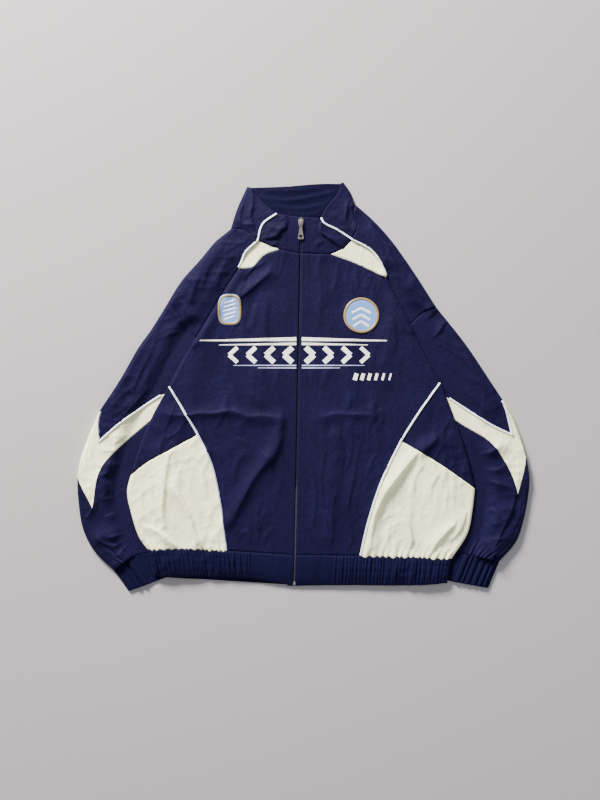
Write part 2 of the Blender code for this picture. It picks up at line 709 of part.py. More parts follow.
def sleeve(side):
    seam, across, end = SEAM[side], ACROSS[side], SIDE_NAMES[side]
    drop = past_roll(seam["drop"], across["sleeve_fold"][0], ROLL_SLEEVE)
    upper = joined(seam["notch"], seam["inset_upper"])
    upper = past_roll(upper, across["inset_fold"][0], ROLL_POINT)
    lower = joined(seam["tip"], seam["inset_lower"])
    lower = past_roll(lower, across["inset_fold"][-1], ROLL_POINT)
    wrist = past_roll(seam["cuff_top"], across["forearm_fold"][-1], ROLL_SLEEVE)
    pieces = (
        ("sleeve_upper", NAVY, drop, upper, "sleeve_fold", "under_drop", None),
        ("sleeve_inset", CREAM, upper, lower, "inset_fold", "under_inset", None),
        ("sleeve_lower", NAVY, lower, wrist, "forearm_fold", "under_forearm", cuff_gathers),
    )
    for name, colour, top, bottom, outer, inner, raised in pieces:
        edges = (top, bottom, seam[outer], seam[inner])
        widths = roll_widths(seam[outer], ROLL_SLEEVE, side, ("inset_top", "inset_low"))
        roll = rolled(across[outer], widths)
        panel(f"{name}_{end}", colour, sleeve_height, edges, roll, raised=raised)


def neck_corner(side):
    """Where the seams of the back's layer meet, inside the fold at the side of the neck."""
    return SEAM[side]["shoulder_fold"][0] + ACROSS[side]["shoulder_fold"][0] * NECK_CLEAR


def back_armhole(side):
    """The seam between the back and the sleeve's back: neck to yoke tip, then along the ridge."""
    ridge = SEAM[side]["ridge"][::2]
    return joined(between(neck_corner(side), ridge[0], 2), ridge)


def sleeve_back(side):
    seam, fold = SEAM[side], ACROSS[side]["shoulder_fold"]
    under = joined(*[seam[name] for name in ("under_drop", "under_inset", "under_forearm")])
    inner = joined(back_armhole(side), placed(under, np.linspace(0, 1, 9)))
    outer = joined(*[seam[name] for name in FOLD_RUN[1:]])
    outer = begun_later(placed(outer, np.linspace(0, 1, len(inner))), 0.22)
    inner = begun_later(inner, 0.22)
    wrist = placed(seam["cuff_top"], np.linspace(0, 1, 5))
    edges = (between(outer[0], inner[0], 4), wrist, outer, inner)
    gaps = (HALF, HALF, EDGE_CLEAR, HALF)
    panel(f"sleeve_back_{SIDE_NAMES[side]}", NAVY, on_floor, edges, gaps=gaps, plumb=True)


def on_floor(places):
    return np.full(len(places), CLOTH)


def back_top(places):
    return lift(places) + CLOTH


BACK_SHARES = np.array((0, 0.05, 0.09, 0.125, 0.16, 0.20, 0.5, 0.80, 0.84, 0.875, 0.91, 0.95, 1))
HEM_BACK = [corner("hem_side", 0), (-12, -304), corner("hem_side", 1)]
BAND_BACK = [corner("band_end", 0), (-16, -359), corner("band_end", 1)]
NECK_BACK_MIDDLE = (-23, 291)
COLLAR_BACK_TOP = [(-32, 361), (31, 366)]


def bent(points, shares):
    """Points of two straight stretches that meet at share 0.5."""
    ends = np.array(points, float) - MIDDLE
    return np.stack([np.interp(shares, (0, 0.5, 1), ends[:, a]) for a in (0, 1)], axis=1)


def collar_curl(across, down):
    """The back of the collar lifts a little along its free edge."""
    return CURL_HEIGHT * np.sin(math.pi * across) * (1 - down) ** 2


def back_pieces():
    quarters = np.linspace(0, 1, 5)
    sides = [
        joined(back_armhole(s), *[placed(SEAM[s][name], quarters) for name in BODY_RUN[1:-1]])
        for s in (0, 1)
    ]
    neck_points = [neck_corner(0) + MIDDLE, NECK_BACK_MIDDLE, neck_corner(1) + MIDDLE]
    neck, hem, band = (bent(points, BACK_SHARES) for points in (neck_points, HEM_BACK, BAND_BACK))
    clear = np.full(len(sides[0]), EDGE_CLEAR)
    clear[: len(back_armhole(0)) - 3] = HALF
    options = {"shares": BACK_SHARES, "plumb": True}
    panel("back", NAVY, back_top, (neck, hem, *sides), gaps=(HALF, HALF, clear, clear), **options)
    gaps = (HALF, HALF, EDGE_CLEAR, EDGE_CLEAR)
    edges = (hem, band, SEAM[0]["band_side"], SEAM[1]["band_side"])
    panel("hem_band_back", NAVY, back_top, edges, gaps=gaps, **options)
    shares = np.linspace(0, 1, 9)
    folds_in = [
        SEAM[side]["collar_fold"] + ACROSS[side]["collar_fold"] * NECK_CLEAR for side in (0, 1)
    ]
    folds_in[0][-1], folds_in[1][-1] = neck_corner(0), neck_corner(1)
    top = [folds_in[0][0] + MIDDLE, *COLLAR_BACK_TOP, folds_in[1][0] + MIDDLE]
    edges = (placed(through(top, 40), shares), bent(neck_points, shares), *folds_in)
    panel("collar_back", NAVY, on_floor, edges, swell=collar_curl, plumb=True)


CUFF_RIBS = 9
CUFF_FREE = (0.50, 0.76)  # share of the cuff's width that the body leaves free, on each side
CUFF_FOLD = 4.0  # plan width of the fold at each side of the flattened cuff


def cuff_section(width, free_share):
    """The ring's section: (across, height) of its outer face, then of its inner face."""
    steps = 2 * CUFF_RIBS
    high = SLEEVE_TOP + 1.0
    section = []
    for k in range(steps + 1):
        across = CUFF_FOLD + (width - 2 * CUFF_FOLD) * k / steps
        free = eased((free_share - across / width) / 0.08)
        top = SLEEVE_TOP + free * (1.0 + 2.2 * math.sin(math.pi * k / 2) ** 2)
        section.append((across, top, across, SLEEVE_TOP - CLOTH + free))
    turns = [(width, -1, SLEEVE_TOP, angle) for angle in (60, 30, 0)]
    turns += [(0, 1, high, angle) for angle in (0, 30, 60)]
    folded = []
    for start, towards, tall, angle in turns:
        out, up = 1 - math.cos(math.radians(angle)), math.sin(math.radians(angle))
        narrow = CLOTH + (CUFF_FOLD - CLOTH) * out
        folded.append((
            start + towards * CUFF_FOLD * out, CLOTH / 2 + (tall - CLOTH / 2) * up,
            start + towards * narrow, CLOTH + (tall - 2 * CLOTH) * up,
        ))
    under = [
        (width * share, 0, width * share + (0.5 - share) * CUFF_FOLD, CLOTH)
        for share in (0.98, 0.66, 0.33, 0.02)
    ]
    return section + folded[:3] + under + folded[3:]


def cuff(side):
    """A flattened ring of elastic cloth, ribbed where it shows, with its lower side on the floor."""
    names = ("cuff_out", "cuff_in", "cuff_end_out", "cuff_end_in")
    corners = [np.array(corner(name, side)) - MIDDLE for name in names]
    width = np.linalg.norm(corners[1] - corners[0])
    seam = SEAM[side]["cuff_top"]
    outer, inner = [], []
    for across, tall, low_across, low_tall in cuff_section(width, CUFF_FREE[side]):
        for face, place, z in ((outer, across, tall), (inner, low_across, low_tall)):
            first = placed(seam, np.array([place / width]))[0]
            last = corners[2] + (corners[3] - corners[2]) * place / width
            first = first + (last - first) / np.linalg.norm(last - first) * 2 * SEAM_GAP
            face.append([(*point, z) for point in between(first, last, 3)])
    closed_wall(f"cuff_{SIDE_NAMES[side]}", np.array(outer), np.array(inner), NAVY, ring=True)


# ---------------------------------------------------------------- trims on the seams


def piping(name, line, heights):
    """A thin corded strip that lies on a seam, a seam gap over the higher of its two pieces."""
    ahead = np.gradient(line, axis=0)
    ahead /= np.linalg.norm(ahead, axis=1)[:, None]
    across = np.stack([-ahead[:, 1], ahead[:, 0]], axis=1)
    feet = [height(line + across * off) for height in heights for off in (-1.5, 0, 1.5)]
    foot = np.max(feet, axis=0) + SEAM_GAP + 0.1
    section = ((-0.5, 0), (-0.28, 1), (0.28, 1), (0.5, 0))
    rings = np.array([
        np.column_stack([line + across * PIPING_WIDE * wide, foot + PIPING_HIGH * tall])
        for wide, tall in section
    ])
    count = len(line)
    faces = grid_faces(len(section), count, 0, True)
    faces.append(tuple(k * count for k in range(len(section))))
    faces.append(tuple(k * count + count - 1 for k in reversed(range(len(section)))))
    new_object(name, rings.reshape(-1, 3), faces, PIPING_WHITE, roughness=0.5)


def all_piping(side):
    seam, across, end = SEAM[side], ACROSS[side], SIDE_NAMES[side]
    side_line = begun_later(joined(seam["piping_upper"], seam["piping_lower"]), 0.5)
    piping(f"piping_side_{end}", side_line, (body_height,))
    neck_line = joined(seam["collar_seam"], seam["yoke_shoulder"][:-1])
    piping(f"piping_neck_{end}", neck_line, (body_height, sleeve_height, collar_height))
    line = joined(seam["notch"], seam["inset_upper"])
    line = past_roll(line, across["inset_fold"][0], ROLL_POINT)
    clear = (distance(line, BODY_SIDE[side]) > 2.5) & ~inside(line, BODY_OUTLINE)
    piping(f"piping_sleeve_{end}", line[clear], (sleeve_height,))


def zip_height(places):
    """Top of the cloth beside the zip: the collar above the neck seam, the body below it."""
    above = places[:, 1] > corner("zip_neck", 0)[1]
    return np.where(above, collar_height(places), body_height(places))


def zip_tapes():
    """The two woven tapes under the fronts' edges. The teeth between them are too fine for here."""
    line = evenly(ZIP, 30)
    for side in (0, 1):
        out = -1 if side == 0 else 1
        rows = []
        for off in (0.5, TAPE_WIDTH):
            place = line + (out * off, 0)
            in_band = eased((corner("zip_hem", 0)[1] + 14 - place[:, 1]) / 14)
            rows.append(np.column_stack([place, zip_height(place) - CLOTH - 0.45 - 0.9 * in_band]))
        top = np.array(rows)
        closed_wall(f"zip_tape_{SIDE_NAMES[side]}", top, top - (0, 0, TAPE_THICK), NAVY)


# ---------------------------------------------------------------- the slider and its pull tab

SLIDER_Y = 293.0  # middle of the slider along the zip
SLIDER_LONG = 14.0
SLIDER_WIDE = 9.0
SLIDER_THICK = 2.6
CROWN_WIDE = 2.4  # the arch over the slider that holds the pull tab
CROWN_THICK = 1.1
CROWN_HIGH = 2.8  # clear height under the arch
CROWN_FEET = (-6.3, 6.0)  # outer ends of the arch along the slider, from its middle
PULL_LONG = 27.0
PULL_THICK = 1.1
PULL_TOP_WIDE = 6.6
PULL_END_WIDE = 10.5
PULL_BAR = 1.6  # width of the tab's own bar that turns under the arch
PULL_WINDOW = (3.8, 4.8)  # width and length of the opening that the arch passes through
PULL_TILT = 10.0  # degrees that the tab hangs below level at rest


def slider_place():
    line = ZIP[ZIP[:, 1] > 0]
    y = SLIDER_Y - MIDDLE[1]
    x = np.interp(y, line[::-1, 1], line[::-1, 0])
    top = zip_height(np.array([[x, y]]))[0] + SEAM_GAP + 0.2
    return x, y, top


def prism(name, outline, low, high, axis, colour, **finish):
    """A flat outline of (a, b) points made solid from low to high along an axis."""
    order = {"x": lambda a, b, c: (c, a, b), "z": lambda a, b, c: (a, b, c)}[axis]
    count = len(outline)
    points = [order(a, b, low) for a, b in outline] + [order(a, b, high) for a, b in outline]
    faces = [tuple(range(count)), tuple(range(2 * count - 1, count - 1, -1))]
    faces += [(k, (k + 1) % count, (k + 1) % count + count, k + count) for k in range(count)]
    return new_object(name, points, faces, colour, **finish)


def zip_slider():
    """A cast wedge that is wider at its top end, with an arch across its length."""
    x, y, low = slider_place()
    half, top, end = SLIDER_LONG / 2, SLIDER_WIDE / 2, SLIDER_WIDE / 2 - 1.2
    edge = (
        (top - 1.5, half), (top, half - 1.6), (top, 1), (end, 1 - half), (end - 1, -half),
    )
    outline = [(x, y + half - 0.8)] + [(x + wide, y + along) for wide, along in edge]
    outline += [(x - wide, y + along) for wide, along in edge[::-1]]
    body = prism(
        "zip_slider", outline, low, low + SLIDER_THICK, "z", ZINC, roughness=0.3, metallic=1
    )
    first, last = CROWN_FEET
    middle, reach = (first + last) / 2, (last - first) / 2
    arch = []
    for outside in (True, False):
        shift = 0 if outside else CROWN_THICK
        tall = CROWN_HIGH + CROWN_THICK - shift
        arc = [
            (y + middle - (reach - shift) * math.cos(math.pi * k / 8),
             low + SLIDER_THICK + tall * math.sin(math.pi * k / 8) ** 0.6)
            for k in range(9)
        ]
        ends = [(arc[0][0], low + SLIDER_THICK - 0.8)], [(arc[-1][0], low + SLIDER_THICK - 0.8)]
        arc = ends[0] + arc + ends[1]
        arch += arc if outside else arc[::-1]
    crown = prism("slider_arch", arch, x - CROWN_WIDE / 2, x + CROWN_WIDE / 2, "x", ZINC)
    crown.hide_render = True
    crown.display_type = "WIRE"
    union = body.modifiers.new("arch", "BOOLEAN")
    union.operation = "UNION"
    union.object = crown


def pull_tab():
    """A flat tab whose bar turns under the slider's arch. Its origin is on the bar's middle line."""
    x, y, low = slider_place()
    bar = np.array((x, y + CROWN_FEET[0] + CROWN_THICK + 2.6, low + SLIDER_THICK + 1.5))
    half_top, half_end, head = PULL_TOP_WIDE / 2, PULL_END_WIDE / 2, PULL_BAR / 2
    window_wide, window_long = PULL_WINDOW
    neck = -head - window_long
    slot_low, slot_high, slot_half = -PULL_LONG + 3.0, -PULL_LONG + 7.5, 2.6
    rows = (  # half width of the tab, distance from the bar
        (half_top - 0.8, head), (half_top, head - 0.4), (half_top, -head),
        (half_top - 0.6, neck), (half_top - 0.8, neck - 2.5), (half_end - 0.9, slot_high),
        (half_end, slot_low), (half_end, -PULL_LONG + 1.2), (half_end - 1.4, -PULL_LONG),
    )
    outline = list(rows) + [(-half, along) for half, along in rows[::-1]]
    tab = prism(
        "pull_tab", outline, -PULL_THICK / 2, PULL_THICK / 2, "z", ZINC, roughness=0.3, metallic=1
    )
    for name, low_end, high_end, half in (
        ("tab_window", neck, -head, window_wide / 2), ("tab_slot", slot_low, slot_high, slot_half)
    ):
        corners = [(-half, low_end), (half, low_end), (half, high_end), (-half, high_end)]
        cutter = prism(name, corners, -PULL_THICK, PULL_THICK, "z", ZINC)
        cutter.hide_render = True
        cutter.display_type = "WIRE"
        cut = tab.modifiers.new(name, "BOOLEAN")
        cut.operation = "DIFFERENCE"
        cut.object = cutter
        cutter.parent = tab
    tab.location = bar * MM
    tab.rotation_euler = (math.radians(PULL_TILT), 0, 0)


# ---------------------------------------------------------------- sewn-on patches

# name, colour, middle, half width, half height, roundness (2 is an ellipse, more is squarer)
PATCHES = (
    ("patch_left", PALE_BLUE, (-132, 138), 21, 28, 3.2),
    ("patch_right", GOLD_THREAD, (105, 128), 32, 32, 2.0),
)
PATCH_THICK = 1.2
PATCH_SECTORS = 20


def patch(name, colour, middle, half_wide, half_tall, roundness):
    """A flat patch made from the front's own heights, moved out."""
    centre = np.array(middle) - MIDDLE
    turn = np.linspace(0, 2 * math.pi, PATCH_SECTORS, endpoint=False)
    power = 2 / roundness
    rim = np.column_stack([
        np.sign(np.cos(turn)) * np.abs(np.cos(turn)) ** power * half_wide,
        np.sign(np.sin(turn)) * np.abs(np.sin(turn)) ** power * half_tall,
    ])
    places = np.vstack([[centre], centre + rim * 0.55, centre + rim])
    around = [places + offset for offset in ((0, 0), (6, 0), (-6, 0), (0, 6), (0, -6))]
    low = np.max([body_height(near) for near in around], axis=0) + SEAM_GAP + 0.2
    count = len(places)
    points = np.concatenate([np.column_stack([places, low + PATCH_THICK]), np.column_stack([places, low])])
    faces = []
    for k in range(PATCH_SECTORS):
        after = (k + 1) % PATCH_SECTORS
        a, b = 1 + k, 1 + after
        c, d = a + PATCH_SECTORS, b + PATCH_SECTORS
        faces += [(0, a, b), (a, c, d, b)]
        faces += [(count, count + b, count + a), (count + a, count + b, count + d, count + c)]
        faces.append((c, c + count, d + count, d))
    new_object(name, points, faces, colour, roughness=0.8)


def main():
    remove_everything()
    for side in (0, 1):
        collar_pieces(side)
        shoulder_and_yoke(side)
        front(side)
        side_fronts(side)
        hem_band(side)
        sleeve(side)
        sleeve_back(side)
        cuff(side)
        all_piping(side)
    back_pieces()
    zip_tapes()
    zip_slider()
    pull_tab()
    for row in PATCHES:
        patch(*row)


main()
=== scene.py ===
# %% [markdown]
# # A windbreaker laid out flat
# The garment lies on its back with its collar at the top and its zip closed. Each sewn panel is
# rebuilt here as a fine sheet of cloth over the plain solid that the mechanical model holds, so
# the looks and the solid share one place. Lengths in the tables are in millimetres.

# %% Load the frame
import math

import bmesh
import bpy
import numpy as np
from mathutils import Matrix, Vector
from mathutils.bvhtree import BVHTree


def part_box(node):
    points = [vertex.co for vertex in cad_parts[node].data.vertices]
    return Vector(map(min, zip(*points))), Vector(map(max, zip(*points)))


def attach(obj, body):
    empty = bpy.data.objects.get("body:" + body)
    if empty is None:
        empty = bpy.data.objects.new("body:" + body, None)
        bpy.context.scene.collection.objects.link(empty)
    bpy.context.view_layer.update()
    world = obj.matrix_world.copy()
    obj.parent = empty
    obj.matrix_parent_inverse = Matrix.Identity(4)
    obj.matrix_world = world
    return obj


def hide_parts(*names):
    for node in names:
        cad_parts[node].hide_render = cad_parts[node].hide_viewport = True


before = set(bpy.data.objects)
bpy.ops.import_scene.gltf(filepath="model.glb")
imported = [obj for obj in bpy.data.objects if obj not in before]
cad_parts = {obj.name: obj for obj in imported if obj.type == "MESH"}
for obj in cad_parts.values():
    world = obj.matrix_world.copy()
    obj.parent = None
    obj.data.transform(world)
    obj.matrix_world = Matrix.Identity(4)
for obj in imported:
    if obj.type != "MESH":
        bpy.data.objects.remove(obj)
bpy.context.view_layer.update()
MM = 0.001
SIDES = ("left", "right")
print("solids loaded:", len(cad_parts))

# %% [markdown]
# ## Camera
# The photograph is taken from straight above. A 35 mm lens on a 36 mm sensor sees 1440 mm of
# floor from 1.4 m up, and the picture's middle lies a little below the garment's middle.

# %% Camera
PICTURE_TALL = 1440
LENS, SENSOR = 35, 36
PICTURE_MIDDLE = (-6.4, -23.8)
CLOTH_LEVEL = 8

camera = bpy.data.objects.new("camera", bpy.data.cameras.new("camera"))
bpy.context.scene.collection.objects.link(camera)
camera.data.lens, camera.data.sensor_width = LENS, SENSOR
camera_height = PICTURE_TALL * LENS / SENSOR + CLOTH_LEVEL
camera.location = (PICTURE_MIDDLE[0] * MM, PICTURE_MIDDLE[1] * MM, camera_height * MM)
bpy.context.scene.camera = camera
print("camera height, mm:", camera_height)

# %% [markdown]
# ## The pattern
# A pattern maker draws a garment as seams. These are the same seam corners and curves as the
# solids have. A seam is a smooth curve through a few chosen points, and both panels that meet
# there read the same curve, so no gap opens between them.

# %% Corners and seams
MIDDLE = np.array((1.0, -0.6))
FINE = 8  # how many steps of a curve here go into one step of the solid's

# Where seams meet: name, (x, y) on the left, (x, y) on the right.
CORNERS = {
    "collar_tip": ((-101, 361), (73, 369)),
    "neck_side": ((-131, 284), (94, 329)),
    "neck_piping": ((-81, 262), (88, 264)),
    "neck_yoke": ((-43, 246), (49, 238)),
    "collar_piping": ((-47, 309), (32, 302)),
    "yoke_tip": ((-117, 212), (151, 196)),
    "drop_in": ((-194, 87), (194, 112)),
    "drop_out": ((-248, 145), (241, 143)),
    "underarm": ((-242, 1), (248, 8)),
    "cross_in": ((-190, -87), (177, -98)),
    "cross_out": ((-311, -161), (310, -184)),
    "hem_piping": ((-139, -296), (104, -305)),
    "hem_side": ((-281, -293), (268, -310)),
    "band_end": ((-268, -343), (260, -355)),
    "inset_top": ((-367, -44), (360, -24)),
    "inset_notch": ((-367, -100), (376, -88)),
    "inset_low": ((-407, -166), (403, -130)),
    "inset_tip": ((-378, -219), (386, -194)),
    "under_top": ((-221, 4), (223, 4)),
    "under_low": ((-225, -21), (229, -28)),
    "cuff_out": ((-342, -332), (355, -316)),
    "cuff_in": ((-257, -298), (261, -300)),
    "cuff_end_out": ((-315, -370), (335, -364)),
    "cuff_end_in": ((-229, -338), (241, -347)),
    "zip_top": ((-4, 304), (-4, 304)),
    "zip_neck": ((-4, 239), (-4, 239)),
    "zip_hem": ((-14, -304), (-14, -304)),
    "zip_end": ((-16, -360), (-16, -360)),
}

# Seams and edges: from, to, steps, points between on the left, points between on the right.
SEAMS = {
    "collar_fold": ("collar_tip", "neck_side", 4, [(-119, 321)], [(85, 352)]),
    "shoulder_fold": (
        "neck_side", "drop_out", 13,
        [(-158, 262), (-185, 230), (-220, 190)], [(124, 303), (158, 266), (196, 213)],
    ),
    "sleeve_fold": (
        "drop_out", "inset_top", 8,
        [(-275, 102), (-297, 71), (-329, 15)], [(263, 116), (295, 75), (335, 15)],
    ),
    "inset_fold": (
        "inset_top", "inset_low", 4, [(-389, -94), (-402, -132)], [(380, -58), (394, -96)],
    ),
    "forearm_fold": (
        "inset_low", "cuff_out", 10,
        [(-406, -204), (-398, -256), (-378, -296)], [(409, -168), (401, -231), (385, -280)],
    ),
    "ridge": ("yoke_tip", "drop_in", 6, [(-140, 177), (-167, 132)], [(173, 154)]),
    "armhole": ("drop_in", "underarm", 5, [(-220, 44)], [(221, 57)]),
    "side_upper": (
        "underarm", "cross_out", 7, [(-275, -60), (-297, -114)], [(275, -62), (297, -127)],
    ),
    "side_lower": (
        "cross_out", "hem_side", 7,
        [(-317, -190), (-308, -235), (-295, -273)], [(306, -220), (297, -264)],
    ),
    "band_side": ("hem_side", "band_end", 3, [], []),
    "under_drop": ("drop_in", "under_top", 8, [(-214, 37)], [(211, 48)]),
    "under_inset": ("under_top", "under_low", 4, [], []),
    "under_forearm": (
        "under_low", "cuff_in", 10,
        [(-243, -82), (-259, -159), (-261, -231)], [(241, -82), (256, -150), (261, -231)],
    ),
    "drop": ("drop_out", "drop_in", 8, [(-229, 134), (-211, 111)], [(218, 134)]),
    "neck_shoulder": ("neck_side", "neck_piping", 8, [(-104, 280)], [(91, 311), (97, 288)]),
    "neck_inset": ("neck_piping", "neck_yoke", 4, [(-63, 255)], [(72, 248)]),
    "neck_front": ("neck_yoke", "zip_neck", 4, [], []),
    "yoke_front": ("yoke_tip", "neck_yoke", 7, [(-92, 215), (-70, 236)], [(94, 222)]),
    "yoke_shoulder": (
        "neck_piping", "yoke_tip", 7, [(-104, 240), (-111, 222)], [(121, 246), (140, 222)],
    ),
    "piping_upper": ("underarm", "cross_in", 7, [(-216, -42)], [(211, -44)]),
    "piping_lower": (
        "cross_in", "hem_piping", 7, [(-167, -136), (-151, -204)], [(139, -177), (117, -246)],
    ),
    "cross": ("cross_out", "cross_in", 22, [(-284, -139), (-239, -114)], [(247, -140)]),
    "hem_sides": ("hem_side", "hem_piping", 22, [(-212, -292)], [(193, -307)]),
    "hem_front": ("hem_piping", "zip_hem", 11, [], []),
    "band_bottom": (
        "band_end", "zip_end", 67, [(-185, -343), (-86, -349)], [(193, -359), (85, -359)],
    ),
    "notch": ("inset_top", "inset_notch", 2, [(-369, -73)], [(369, -56)]),
    "inset_upper": (
        "inset_notch", "under_top", 6, [(-329, -67), (-275, -28)], [(337, -69), (283, -34)],
    ),
    "tip": ("inset_low", "inset_tip", 2, [(-393, -191)], [(395, -161)]),
    "inset_lower": (
        "inset_tip", "under_low", 6,
        [(-365, -152), (-333, -112), (-284, -69)], [(373, -154), (337, -101), (283, -66)],
    ),
    "cuff_top": ("cuff_out", "cuff_in", 8, [(-301, -305)], [(308, -305)]),
    "collar_edge": ("collar_tip", "collar_piping", 8, [(-74, 332)], [(61, 345), (41, 320)]),
    "collar_seam": ("collar_piping", "neck_piping", 4, [(-72, 291)], [(37, 293), (61, 281)]),
    "collar_front_edge": ("collar_piping", "zip_top", 8, [], []),
    "zip_collar": ("zip_top", "zip_neck", 4, [], []),
    "zip_body": ("zip_neck", "zip_hem", 25, [], []),
    "zip_band": ("zip_hem", "zip_end", 3, [], []),
}

# Folds of the body front: height, half width, points along the crest.
BODY_FOLDS = (
    (2.6, 13, [(-248, -48), (-189, -50), (-139, -44), (-92, -57), (-30, -58)]),
    (2.2, 13, [(36, -58), (85, -50), (126, -51)]),
    (4.2, 14, [(-34, -66), (-43, -96), (-74, -147), (-103, -192), (-135, -246)]),
    (3.2, 13, [(-59, 201), (-113, 161)]),
    (3.4, 12, [(-234, -177), (-202, -228), (-184, -275)]),
    (2.6, 13, [(-262, -115), (-256, -200), (-248, -275)]),
    (4.2, 13, [(238, -96), (191, -130), (151, -181), (131, -226), (124, -285)]),
    (2.6, 11, [(262, -250), (229, -285)]),
    (2.6, 11, [(182, -235), (196, -276)]),
    (2.2, 14, [(-68, 156), (-76, 60), (-74, -24)]),
    (2.2, 14, [(82, 140), (88, 60), (85, -24)]),
    (2.2, 13, [(160, 150), (150, 12)]),
    (2.4, 13, [(60, -90), (52, -190), (48, -270)]),
)

# Folds of the sleeves and shoulders: height, half width, points along the crest.
SLEEVE_FOLDS = (
    (3.4, 12, [(-350, -146), (-305, -152)]),
    (3.0, 11, [(-372, -182), (-335, -190)]),
    (5.0, 13, [(-366, -272), (-335, -262), (-305, -252)]),
    (3.4, 14, [(-293, 66), (-330, 0), (-342, -40)]),
    (3.0, 12, [(-205, 190), (-232, 150)]),
    (3.4, 13, [(-150, 246), (-185, 205), (-200, 160)]),
    (4.0, 13, [(300, -106), (325, -118), (352, -108)]),
    (3.2, 12, [(330, -168), (375, -180)]),
    (3.2, 12, [(318, -262), (345, -240), (362, -222)]),
    (3.4, 14, [(286, 66), (320, 10), (338, -34)]),
    (3.0, 12, [(200, 186), (226, 146)]),
    (3.4, 13, [(124, 280), (160, 232), (186, 180)]),
    (3.0, 12, [(370, -262), (340, -292)]),
)


def corner(name, side):
    """A named corner in the frame of the solids, in mm."""
    return np.array(CORNERS[name][side]) - MIDDLE


print("corners on each side:", len(CORNERS))


# %% [markdown]
# ## Curves
# A Catmull-Rom curve passes through every point that it is given, so the points can be read off
# a drawing. Spacing its knots by the square root of the distance keeps it free of loops.

# %% Curves through points
def evenly(line, steps):
    """The same line as steps + 1 points at even distances."""
    length = np.concatenate([[0], np.cumsum(np.linalg.norm(np.diff(line, axis=0), axis=1))])
    wanted = np.linspace(0, length[-1], steps + 1)
    return np.stack([np.interp(wanted, length, line[:, axis]) for axis in (0, 1)], axis=1)


def through(points, steps):
    """A smooth curve through the points, as steps + 1 points at even distances."""
    points = np.array(points, float) - MIDDLE
    if len(points) == 2:
        return points[0] + (points[1] - points[0]) * np.linspace(0, 1, steps + 1)[:, None]
    ends = np.vstack([2 * points[0] - points[1], points, 2 * points[-1] - points[-2]])
    knots = np.concatenate([[0], np.cumsum(np.linalg.norm(np.diff(ends, axis=0), axis=1) ** 0.5)])
    dense = []
    for k in range(1, len(ends) - 2):
        time = np.linspace(knots[k], knots[k + 1], 40, endpoint=k == len(ends) - 3)[:, None]

        def mix(a, b, i, j):
            return (a * (knots[j] - time) + b * (time - knots[i])) / (knots[j] - knots[i])

        one = mix(ends[k - 1], ends[k], k - 1, k)
        two = mix(ends[k], ends[k + 1], k, k + 1)
        three = mix(ends[k + 1], ends[k + 2], k + 1, k + 2)
        dense.append(mix(mix(one, two, k - 1, k + 1), mix(two, three, k, k + 2), k, k + 1))
    return evenly(np.vstack(dense), steps)


def joined(*lines):
    """Lines that meet end to end, as one."""
    return np.vstack([lines[0]] + [line[1:] for line in lines[1:]])


SEAM = [
    {
        name: through([CORNERS[row[0]][s]] + row[3 + s] + [CORNERS[row[1]][s]], row[2] * FINE)
        for name, row in SEAMS.items()
    }
    for s in (0, 1)
]
print("seams drawn:", 2 * len(SEAMS))

# %% [markdown]
# ## Distances in the plan
# Nearly every form below is a soft function of how far a point lies from some line: a seam, the
# crest of a fold or the zip. The sign says on which side the point is, which lets one side of a
# crease be steep and the other gentle, as in pressed cloth.

# %% Distances
def off_line(places, line):
    """Signed distance of each place from a line, positive on its left, and the share along it."""
    start, run = line[:-1], np.diff(line, axis=0)
    offset = places[:, None, :] - start[None]
    share = (offset * run).sum(axis=2) / np.maximum((run**2).sum(axis=1), 1e-9)
    share = np.clip(share, 0, 1)
    away = np.linalg.norm(offset - share[:, :, None] * run, axis=2)
    near = away.argmin(axis=1)
    pick = np.arange(len(places)), near
    turn = run[near, 0] * offset[pick][:, 1] - run[near, 1] * offset[pick][:, 0]
    return away[pick] * np.where(turn < 0, -1, 1), (near + share[pick]) / len(run)


def distance(places, line):
    """Distance of each place from a line, without its sign."""
    return np.abs(off_line(places, line)[0])


def inside(places, outline):
    """True for each place inside the closed outline."""
    x, y = places[:, 0][:, None], places[:, 1][:, None]
    first, last = outline, np.roll(outline, -1, axis=0)
    crosses = (first[:, 1] > y) != (last[:, 1] > y)
    rise = np.where(last[:, 1] == first[:, 1], 1.0, last[:, 1] - first[:, 1])
    where = (last[:, 0] - first[:, 0]) * (y - first[:, 1]) / rise + first[:, 0]
    return (crosses & (x < where)).sum(axis=1) % 2 == 1


def eased(value):
    """0 below 0, 1 above 1, and a soft S between."""
    value = np.clip(value, 0.0, 1.0)
    return value * value * (3 - 2 * value)


print("height 0.25 of the way up a soft step:", eased(0.25))

# %% [markdown]
# ## Directions into the cloth
# The outline of a folded garment is a fold, and the cloth turns under it square to its run.
# Where a seam crosses the fold both panels turn along that one seam, so close to it the
# directions are blended.

# %% Directions into the cloth
def inward(line, side):
    """Unit vectors across a line that runs down the garment, pointing into it."""
    ahead = np.gradient(line, axis=0)
    ahead /= np.linalg.norm(ahead, axis=1)[:, None]
    return np.stack([-ahead[:, 1], ahead[:, 0]], axis=1) * (1 if side == 0 else -1)


FOLD_RUN = ("collar_fold", "shoulder_fold", "sleeve_fold", "inset_fold", "forearm_fold")
BODY_RUN = ("ridge", "armhole", "side_upper", "side_lower", "band_side")


def run_normals(names, side):
    """For each seam of a run, the inward directions at its points."""
    across = inward(joined(*[SEAM[side][name] for name in names]), side)
    found, first = {}, 0
    for name in names:
        count = len(SEAM[side][name])
        found[name] = across[first : first + count]
        first += count - 1
    return found


# For each side, the inward directions along every seam of its outline and of the body's edge.
ACROSS = [{**run_normals(FOLD_RUN, s), **run_normals(BODY_RUN, s)} for s in (0, 1)]

